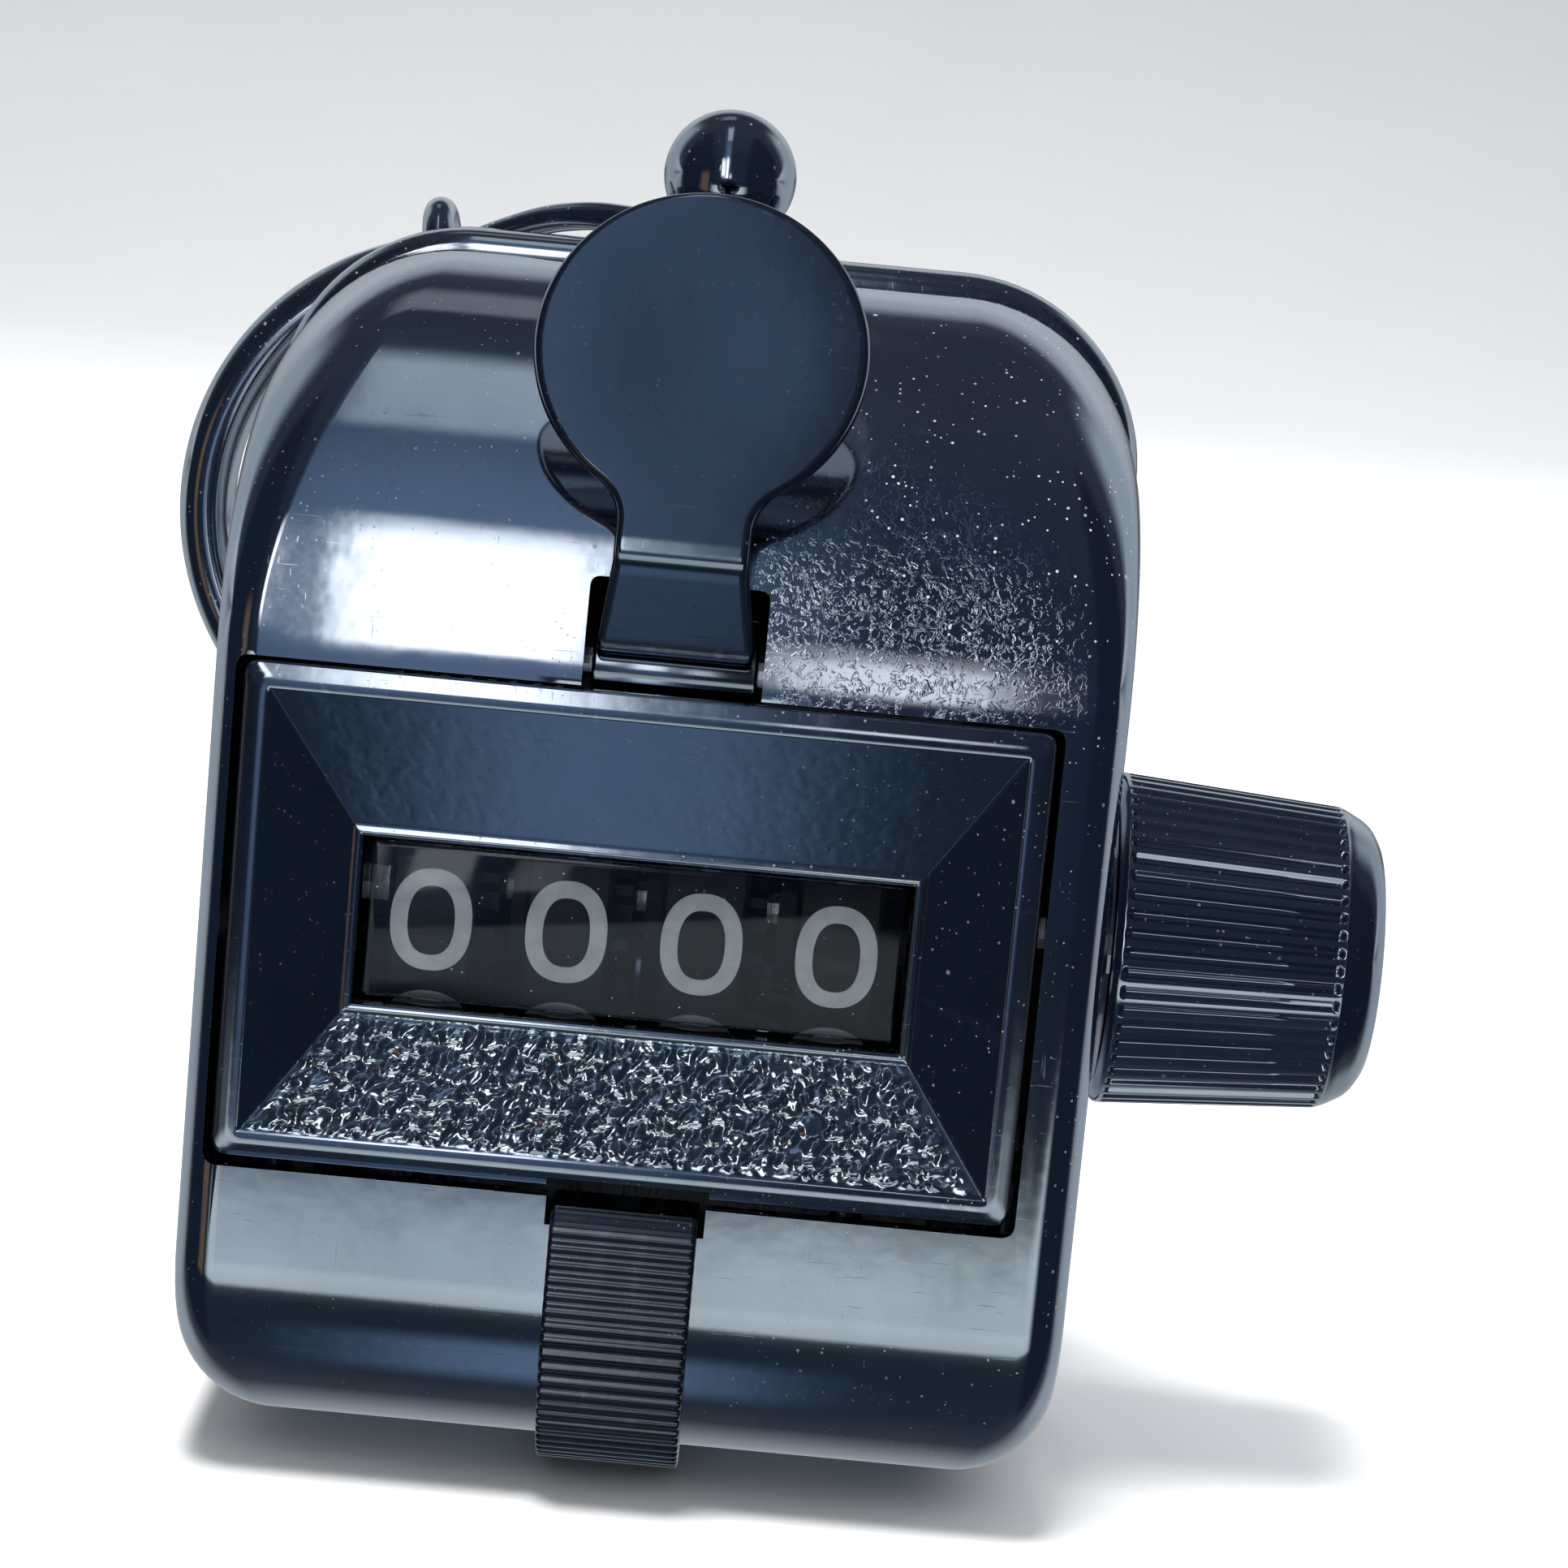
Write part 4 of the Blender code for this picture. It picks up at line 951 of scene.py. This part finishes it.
# ================================================================ knob
def reset_knob():
    ribs = 54
    rib_depth = 0.26
    ribs_x0 = KNOB_X0 + 0.55
    ribs_x1 = KNOB_X1 - 2.15

    def ribbed(x, radius, angles):
        gate = smoothstep(x, ribs_x0, ribs_x0 + 0.35) * (1 - smoothstep(x, ribs_x1 - 0.35, ribs_x1))
        gate = gate * (radius > 6.5)        # not in the bore
        wave = (angles * ribs / math.tau) % 1.0
        return radius - rib_depth * smoothstep(np.abs(wave - 0.5), 0.14, 0.42) * gate

    # profiles are (x, radius)
    bore_r = SHAFT_R + RUNNING_GAP
    bore = [(33.0, 0.0), (33.0, bore_r), (KNOB_X0 + 0.15, bore_r), (KNOB_X0, bore_r + 0.2)]
    body = rounded(
        [(KNOB_X0, SHAFT_R + 0.5), (KNOB_X0, KNOB_R0 - 0.4), (KNOB_X0 + 0.4, KNOB_R0),
         (KNOB_X1 - 2.0, KNOB_R1), (KNOB_X1 - 0.6, 6.9), (KNOB_X1, 5.9), (KNOB_X1, 5.0)],
        [0, 0.15, 0.2, 0.45, 0.5, 0.3, 0], 5)
    rib_xs = np.concatenate([np.linspace(ribs_x0 - 0.02, ribs_x0 + 0.4, 7),
                             np.linspace(ribs_x0 + 1.2, ribs_x1 - 1.2, 9),
                             np.linspace(ribs_x1 - 0.4, ribs_x1 + 0.02, 7)])
    taper = (KNOB_R1 - KNOB_R0) / (KNOB_X1 - 2.4 - KNOB_X0)
    profile = bore + [p for p in body if p[0] <= KNOB_X0 + 0.48]
    profile += [(x, KNOB_R0 + taper * (x - KNOB_X0 - 0.4)) for x in rib_xs]
    profile += [p for p in body if p[0] > ribs_x1 + 0.03]
    # shallow dish in the end face
    profile += [(KNOB_X1 - depth, radius) for depth, radius in (
        (0.08, 4.85), (0.25, 4.7), (0.3, 4.5), (0.3, 1.2), (0.38, 0.9), (0.5, 0.0))]
    g = Geometry(lathe(profile, "X", (0, AXIS_Y, AXIS_Z), ribs * 12, ribbed))
    ob = stand_in("reset_knob", g, CHROME_KNOB, body="reset", smooth=38)
    # set screw hole
    cut(ob, rod("Y", (27.0, 0, AXIS_Z), 1.05, AXIS_Y + 2.5, AXIS_Y + 9.5))
    shade(ob.data, 38)


# ================================================================ finger ring
def strap_path():
    """(y, z) from a short lip inside the case, under it, round the loop and up the back."""
    lip_r = 0.8
    lip_z = 14.3
    middle = STRAP_T / 2
    bend_z = BOTTOM_Z + BOTTOM_R
    path = [(-11.6, lip_z + lip_r), (-13.6, lip_z + lip_r)]
    path += arc(FRONT_Y, lip_z, lip_r, 90, 180, 8)
    path += arc(BOTTOM_Y, bend_z, bend_z - middle, 180, 270, 48)
    path += arc(LOOP_Y, LOOP_Z, LOOP_R, -90, 90, 110)
    path += arc(TAIL_Y + TAIL_R, LOOP_Z + LOOP_R + TAIL_R, TAIL_R, 270, 180, 30)
    return path + [(TAIL_Y, 45.2)]


def finger_ring():
    """Rolled strap with fine cross ribs on its outer face and rounded edges."""
    line, along = resample(strap_path(), 0.065)
    tangents = np.gradient(line, axis=0)
    average = np.ones(7) / 7
    for column in (0, 1):
        tangents[3:-3, column] = np.convolve(tangents[:, column], average, "valid")
    tangents /= np.linalg.norm(tangents, axis=1)[:, None]
    inward = np.stack([-tangents[:, 1], tangents[:, 0]], 1)

    # cross section (x, height); the outer face is the lower one, with extra points along it
    half_w, half_t = STRAP_HALF_W, STRAP_T / 2
    section = rounded([(-half_w, -half_t), (half_w, -half_t), (half_w, half_t),
                       (-half_w, half_t)], 0.22, closed=True)
    flat = [(x, -half_t) for x in np.linspace(-half_w + 0.3, half_w - 0.3, 9)]
    section = np.array(section[:5] + flat + section[5:])

    rib_pitch = 0.78
    rib_depth = 0.15
    wave = (along / rib_pitch) % 1.0
    groove = smoothstep(np.abs(wave - 0.5), 0.12, 0.42) * rib_depth
    end = along[-1]
    groove *= smoothstep(along, 2.6, 3.4) * (1 - smoothstep(along, end - 21.0, end - 18.5))
    rows = []
    for (y, z), (in_y, in_z), depth in zip(line, inward, groove):
        height = section[:, 1] + np.where(section[:, 1] < 0, depth, 0.0)
        rows.append(np.stack([section[:, 0], y + in_y * height, z + in_z * height], 1))
    ob = stand_in("finger_ring", Geometry(rows, caps=True), CHROME_STRAP, smooth=45)
    for z in RIVET_ZS:
        cut(ob, rod("Y", (0, 0, z), RIVET_HOLE_R, 13.5, 16))
    shade(ob.data, 45)


# ================================================================ fixings
def rivets():
    # (y, radius): head inside the cover, shank, domed head behind the strap
    profile = rounded(
        [(11.8, 0.0), (11.8, 2.0), (12.6, 2.3), (12.6, 1.25), (15.4, 1.25), (15.4, 2.4),
         (15.9, 2.15), (16.3, 1.3), (16.45, 0.0)],
        [0, 0.2, 0.1, 0, 0, 0.12, 0.4, 0.6, 0], 5)
    for k, z in enumerate(RIVET_ZS, 1):
        g = Geometry(lathe(profile, "Y", (0, 0, z)))
        stand_in("ring_rivet_%d" % k, g, STEEL_SCREW)


def cross_slot(x, z, angle):
    """One bar of a screw's cross recess, wider and longer at the back."""
    c, s = math.cos(angle), math.sin(angle)
    rows = []
    for y, half_l, half_w in ((14.35, 0.55, 0.10), (15.4, 1.15, 0.19)):
        corners = ((-half_l, -half_w), (half_l, -half_w), (half_l, half_w), (-half_l, half_w))
        rows.append([(x + u * c - v * s, y, z + u * s + v * c) for u, v in corners])
    return Geometry(rows, caps=True)


def screws():
    # (y, radius): shank, then the head behind the cover
    profile = rounded(
        [(6.4, 0.0), (6.6, 0.8), (6.8, 0.9), (14.2, 0.9), (14.2, 1.9), (14.7, 1.9),
         (15.1, 1.4), (15.25, 0.0)],
        [0, 0.1, 0.1, 0, 0.08, 0.2, 0.6, 0], 5)
    places = [(x, z) for z in SCREW_ZS for x in (-SCREW_X, SCREW_X)]
    for k, (x, z) in enumerate(places, 1):
        g = Geometry(lathe(profile, "Y", (x, 0, z), 56))
        ob = stand_in("back_screw_%d" % k, g, STEEL_SCREW)
        turn = math.radians(17 + 41 * k)    # each screw stopped at its own angle
        for quarter in (0, 1):
            cut(ob, cross_slot(x, z, turn + quarter * math.pi / 2))
        soften(ob, width=0.04, angle=40)


# ================================================================ lanyard
def ball_stud():
    # (z, radius): foot inside the case, neck, ball
    ball_bottom = BALL_Z - math.sqrt(BALL_R * BALL_R - STUD_NECK_R ** 2)
    profile = rounded([(55.5, 0), (55.5, 1.9), (56.9, 1.9), (56.9, STUD_NECK_R),
                       (ball_bottom, STUD_NECK_R)], [0, 0.15, 0.1, 0.1, 0], 4)
    start = -math.degrees(math.acos(STUD_NECK_R / BALL_R))
    profile += [(BALL_Z + BALL_R * math.sin(math.radians(a)), BALL_R * math.cos(math.radians(a)))
                for a in np.linspace(start, 90, 48)[1:-1]]
    profile.append((BALL_Z + BALL_R, 0))
    g = Geometry(lathe(profile, "Z", (0, STUD_Y, 0), 96))
    stand_in("lanyard_ball_stud", g, CHROME_BALL)


def lanyard_ring():
    g = Geometry(torus(RING_CENTRE, (0, 1, 0), RING_R, RING_WIRE, 220, 40), loop=True)
    stand_in("lanyard_ring", g, CHROME_RING, body="lanyard")


def lanyard_link():
    """Eye round the ring, a bent bar, and a washer round the stud's neck."""
    ring_x, ring_y, ring_z = RING_CENTRE
    eye_x = ring_x + RING_R * math.cos(EYE_ANGLE)
    eye_z = ring_z + RING_R * math.sin(EYE_ANGLE)
    tangent = (-math.sin(EYE_ANGLE), 0, math.cos(EYE_ANGLE))
    g = Geometry(torus((eye_x, ring_y, eye_z), tangent, EYE_R, EYE_WIRE, 96, 28), loop=True)
    bar = [(-2.6, 10.4, 60.8), (-4.6, 11.0, 60.95), (-7.0, 12.6, 61.0), (-9.6, 14.4, 60.5),
           (-12.4, ring_y - 3.0, 59.3), (eye_x + 0.1, ring_y - EYE_R + 0.1, eye_z + 0.4)]
    line, _ = resample(rounded(bar, 1.6, 8), 0.25)
    g.grid(sweep(line, radius=0.74, sides=24), caps=True)
    washer = rounded([(60.05, 1.45), (60.05, 2.9), (60.42, 2.9), (60.42, 1.45)], 0.1, 3,
                     closed=True)
    g.grid(lathe(washer, "Z", (0, STUD_Y, 0)), loop=True)
    stand_in("lanyard_link", g, CHROME_RING)


# ================================================================ numerals
def ellipse(centre_x, centre_z, radius_x, radius_z, start, end, count=40, power=2.0):
    """Arc of an ellipse; a power above 2 squares it off."""
    angles = np.radians(np.linspace(start, end, count))
    bend = 2.0 / power
    return [(centre_x + radius_x * np.sign(c) * abs(c) ** bend,
             centre_z + radius_z * np.sign(s) * abs(s) ** bend)
            for c, s in zip(np.cos(angles), np.sin(angles))]


def six():
    bowl = ellipse(0, -0.42, 1.0, 0.58, 0, 360, 61)[:-1]
    stem = ellipse(0.35, -0.42, 1.35, 1.42, 180, 72, 24)
    return [(bowl, True), (stem, False)]


# centrelines in a box of half width 1 and half height 1, as (points, closed)
STROKES = (
    [(ellipse(0, 0, 1, 1, 0, 360, 97, 2.35)[:-1], True)],
    [([(-0.55, 0.55), (0.1, 1.0), (0.1, -1.0)], False)],
    [(ellipse(0, 0.42, 0.95, 0.58, 165, -35) + [(-0.95, -1.0), (1.0, -1.0)], False)],
    [(ellipse(0, 0.5, 0.9, 0.5, 150, -90), False), (ellipse(0, -0.5, 1.0, 0.5, 90, -150), False)],
    [([(0.4, -1.0), (0.4, 1.0), (-1.0, -0.35), (1.0, -0.35)], False)],
    [([(0.85, 1.0), (-0.75, 1.0), (-0.85, 0.08)]
      + ellipse(0, -0.36, 1.0, 0.64, 138, -150), False)],
    six(),
    [([(-1.0, 1.0), (1.0, 1.0), (-0.15, -1.0)], False)],
    [(ellipse(0, 0.5, 0.85, 0.5, 0, 360, 61)[:-1], True),
     (ellipse(0, -0.5, 1.0, 0.5, 0, 360, 61)[:-1], True)],
    [([(-x, -z) for x, z in points], closed) for points, closed in six()],
)


def wrapped_stroke(points, closed, wheel_x, base_angle):
    """A flat raised line laid round a wheel."""
    half_w, half_h = 1.56, 2.14             # half size of a numeral
    width = 0.84
    proud = 0.045
    if closed:
        line = np.array([(x * half_w, z * half_h) for x, z in points])
        tangents = np.roll(line, -1, 0) - np.roll(line, 1, 0)
    else:
        points = rounded(points, 0.12, 3)
        line, _ = resample([(x * half_w, z * half_h) for x, z in points], 0.09)
        tangents = np.gradient(line, axis=0)
    tangents /= np.maximum(np.linalg.norm(tangents, axis=1), 1e-9)[:, None]
    normals = np.stack([-tangents[:, 1], tangents[:, 0]], 1)
    section = (  # (share of the width, height above the wheel)
        (-0.5, -0.02), (-0.5, proud * 0.6), (-0.42, proud),
        (0.42, proud), (0.5, proud * 0.6), (0.5, -0.02),
    )
    rows = []
    for share, height in section:
        x, up = (line + normals * width * share).T
        angle = base_angle + up / WHEEL_R
        radius = WHEEL_R + height
        rows.append(np.stack([wheel_x + x, AXIS_Y - radius * np.cos(angle),
                              AXIS_Z + radius * np.sin(angle)], 1))
    return np.array(rows).transpose(1, 0, 2)


def numerals():
    for i, name in enumerate(("thousands", "hundreds", "tens", "units")):
        wheel_x = WINDOW_X + (i - 1.5) * WHEEL_PITCH
        g = Geometry()
        for digit, strokes in enumerate(STROKES):
            base_angle = digit * math.tau / 10 - 0.026
            for points, closed in strokes:
                rows = wrapped_stroke(points, closed, wheel_x, base_angle)
                g.grid(rows, loop=closed, caps=not closed)
        piece("%s_numerals" % name, g, INK, name + "_drum")


for build in (front_shell, back_cover, window_bezel, window_lens, thumb_lever, reset_knob,
              finger_ring, rivets, screws, ball_stud, lanyard_ring, lanyard_link, numerals):
    build()


# ================================================================ finishes of the CAD nodes
SLOT_LOOK = {"steel": STEEL_TURNED, "brass": BRASS, "wheel_black": BLACK,
             "spring_wire": SPRING, "chrome": CHROME_RING, "lens_clear": CLEAR}
NODE_LOOK = {"left_frame_plate": STEEL_PLATE, "right_frame_plate": STEEL_PLATE,
             "drive_arm": STEEL_PLATE, "drive_pawl": STEEL_PLATE,
             "knob_washer": STEEL_SCREW, "knob_set_screw": STEEL_SCREW}
SLOT_OF = {part["node"]: part["material_slot"] for part in frame["record"]["subparts"]}
for node_name, node_ob in frame["nodes"].items():
    node_slot = SLOT_OF[node_name]
    node_ob.data.materials.clear()
    node_ob.data.materials.append(NODE_LOOK.get(node_name, SLOT_LOOK[node_slot]))


# ================================================================ stage
def stage_floor():
    """Plain pale floor that curves up into a backdrop."""
    half_width = 4500
    bend_y = 700
    bend_r = 500
    profile = [(-3000.0, 0.0), (bend_y, 0.0)]
    profile += [(bend_y + bend_r * math.sin(t), bend_r - bend_r * math.cos(t))
                for t in np.radians(np.linspace(6, 90, 24))]
    profile.append((bend_y + bend_r, 2600.0))
    rows = [[(-half_width, y, z), (half_width, y, z)] for y, z in profile]
    mesh = Geometry(rows, ring=False).mesh("stage_floor", 60)
    material, g = new_material("stage_paper")
    place = g.coords()
    tone = g.mix(g.noise(place, scale=0.02), (0.80, 0.81, 0.82), (0.84, 0.845, 0.85))
    g.surface(Base_Color=tone, Roughness=0.9,
              Normal=g.bump(g.noise(place, scale=1.2), strength=0.1, distance=0.05))
    mesh.materials.append(material)
    ob = bpy.data.objects.new("stage_floor", mesh)
    SCENE.collection.objects.link(ob)
    ob.visible_glossy = False


# what the chrome mirrors, by the angle about the X axis: 0 is straight out of the
# front, 90 is up; (degrees, colour)
MIRROR_STOPS = (
    (-180, (0.12, 0.13, 0.15)), (-160, (0.42, 0.45, 0.48)), (-128, (0.28, 0.31, 0.34)),
    (-104, (0.05, 0.06, 0.075)), (-80, (0.020, 0.032, 0.050)), (-55, (0.016, 0.028, 0.044)),
    (-40, (0.020, 0.032, 0.046)), (-34, (0.05, 0.065, 0.08)), (-31, (0.56, 0.63, 0.66)),
    (-22, (0.66, 0.74, 0.76)), (-16.6, (0.58, 0.66, 0.69)), (-15.9, (0.012, 0.018, 0.032)),
    (-12, (0.012, 0.020, 0.038)), (-4, (0.020, 0.030, 0.055)), (10, (0.020, 0.030, 0.052)),
    (30, (0.018, 0.027, 0.046)), (58, (0.022, 0.033, 0.055)), (96, (0.030, 0.040, 0.060)),
    (128, (0.032, 0.042, 0.062)), (139, (0.05, 0.06, 0.08)), (146, (0.36, 0.40, 0.46)),
    (158, (0.52, 0.57, 0.62)), (172, (0.42, 0.46, 0.50)), (180, (0.26, 0.29, 0.32)),
)


def mirrored_room(g):
    """Wide bands by angle, with patches of light and shade laid over them."""
    direction = g.node("ShaderNodeTexCoord").outputs["Generated"]
    x, y, z = g.xyz(direction)
    angle = g.mul(g.math("ARCTAN2", z, g.mul(y, -1.0)), 57.29578)
    share = g.scale_add(angle, scale=1 / 360, offset=0.5)
    base = g.ramp(share, [(degrees / 360 + 0.5, color) for degrees, color in MIRROR_STOPS])

    def patch(angles, xs, angle=angle, x=x):
        """Soft rectangle; each range is (rise from, to, fall from, to)."""
        return g.mul(g.band(angle, *angles), g.band(x, *xs))

    # the room falls off to both sides in front of the object
    aside = g.math("ABSOLUTE", x)
    dark = g.mul(g.step(aside, lo=0.36, hi=0.56), g.step(y, lo=0.12, hi=-0.08))
    base = g.mix(dark, base, (0.010, 0.017, 0.030))
    # wide soft light from both sides, seen by surfaces that turn away from the front
    side = g.mul(g.step(aside, lo=0.40, hi=0.62), g.step(z, lo=0.85, hi=0.55))
    side = g.mul(side, g.step(y, lo=0.22, hi=0.55))
    base = g.mix(side, base, (0.36, 0.42, 0.47))
    # light overhead, left of the middle, and a dimmer patch behind it
    overhead = patch((63, 68, 88, 98), (-0.135, -0.118, -0.03, 0.01))
    base = g.mix(overhead, base, (0.42, 0.50, 0.54))
    behind = patch((114, 117, 124, 131), (-0.30, -0.12, -0.03, 0.02))
    base = g.mix(behind, base, (0.20, 0.215, 0.25))
    # warm patch, low on the left
    warm = patch((-40, -30, 0, 15), (-0.80, -0.70, -0.62, -0.55))
    base = g.mix(g.mul(warm, 0.7), base, (0.20, 0.13, 0.09))
    # window glare with uneven edges, strongest left of the middle
    wobble = g.mul(g.sub(g.noise(direction, scale=9.0), 0.5), 8.0)
    uneven = g.add(angle, wobble)
    glare = patch((-6, -3, 26, 37), (-0.116, -0.107, -0.052, -0.043),
                  angle=uneven, x=g.add(x, g.mul(wobble, 0.0012)))
    streak = patch((-2, 4, 22, 36), (-0.26, -0.235, -0.155, -0.135), angle=uneven)
    glare = g.math("MAXIMUM", glare, g.mul(streak, 0.8))
    weak = patch((-7, -4.5, 1.0, 9.0), (-0.008, 0.006, 0.045, 0.062), angle=uneven)
    # blue halo round the glare and a glow below
    halo = patch((-26, -4, 30, 112), (-0.24, -0.09, -0.06, 0.03))
    glow = patch((-88, -72, -60, -48), (-0.12, -0.05, -0.03, 0.04))
    front = g.step(y, lo=0.0, hi=-0.3)
    base = g.mix(g.mul(g.math("MAXIMUM", halo, glow), 0.62), base, (0.18, 0.27, 0.44))
    base = g.mix(g.mul(weak, front), base, (1.15, 1.2, 1.25))
    base = g.mix(g.mul(glare, front), base, (2.2, 2.3, 2.4))
    return base, z


def world():
    """Soft pale room for diffuse light; glossy rays see the mirrored room instead."""
    studio = bpy.data.worlds.new("studio")
    studio.use_nodes = True
    SCENE.world = studio
    studio.node_tree.nodes.clear()
    g = Graph(studio.node_tree)
    mirrored, z = mirrored_room(g)
    rays = g.node("ShaderNodeLightPath").outputs
    room = g.mix(g.step(z, lo=0.05, hi=0.85), (0.20, 0.21, 0.23), (1.25, 1.27, 1.30))
    room = g.mix(rays["Is Camera Ray"], room, (1.15, 1.16, 1.18))
    room, mirrored = (
        g.node("ShaderNodeBackground", {"Color": color, "Strength": strength}).outputs[0]
        for color, strength in ((room, 0.62), (mirrored, 1.0)))
    inputs = {0: rays["Is Glossy Ray"], 1: room, 2: mirrored}
    mixed = g.node("ShaderNodeMixShader", inputs).outputs[0]
    g.node("ShaderNodeOutputWorld", {0: mixed})


def light(name, place, size, power, color):
    """Square area light, in metres and watts, aimed at the counter and not mirrored in it."""
    data = bpy.data.lights.new(name, "AREA")
    data.shape = "SQUARE"
    data.size = size
    data.energy = power
    data.color = color
    ob = bpy.data.objects.new(name, data)
    ob.location = Vector(place)
    ob.rotation_mode = "QUATERNION"
    ob.rotation_quaternion = (Vector((0, 0, 0.03)) - Vector(place)).to_track_quat("-Z", "Y")
    ob.visible_glossy = False
    SCENE.collection.objects.link(ob)


def camera():
    data = bpy.data.cameras.new("camera")
    data.sensor_fit = "HORIZONTAL"
    data.sensor_width = 36.0
    data.lens = 92.1
    data.clip_start = 0.01
    data.clip_end = 20.0
    right = Vector((0.99548, 0.04118, 0.08554)).normalized()
    ahead = Vector((-0.01377, 0.95413, -0.29909)).normalized()
    down = ahead.cross(right).normalized()
    right = down.cross(ahead).normalized()
    pose = Matrix((right, -down, -ahead)).transposed().to_4x4()
    # turned to face the middle of the object, about the same eye point
    aim = Vector((0.0281, 0.1283, -1.0)).normalized()
    turn = Vector((0.0, 0.0, -1.0)).rotation_difference(aim)
    pose = pose @ turn.to_matrix().to_4x4()
    pose.translation = Vector((5.21, -198.21, 69.06)) * MM
    ob = bpy.data.objects.new("camera", data)
    ob.matrix_world = pose
    SCENE.collection.objects.link(ob)
    SCENE.camera = ob


stage_floor()
world()
light("key_soft", place=(-0.06, -0.13, 0.64), size=0.16, power=5.6, color=(1.0, 0.99, 0.97))
light("fill_soft", place=(0.5, -0.15, 0.45), size=0.5, power=1.0, color=(0.93, 0.96, 1.0))
light("back_soft", place=(0.1, 0.55, 0.6), size=0.5, power=2.4, color=(0.95, 0.97, 1.0))
camera()
SCENE.view_settings.view_transform = "Standard"
SCENE.view_settings.look = "None"
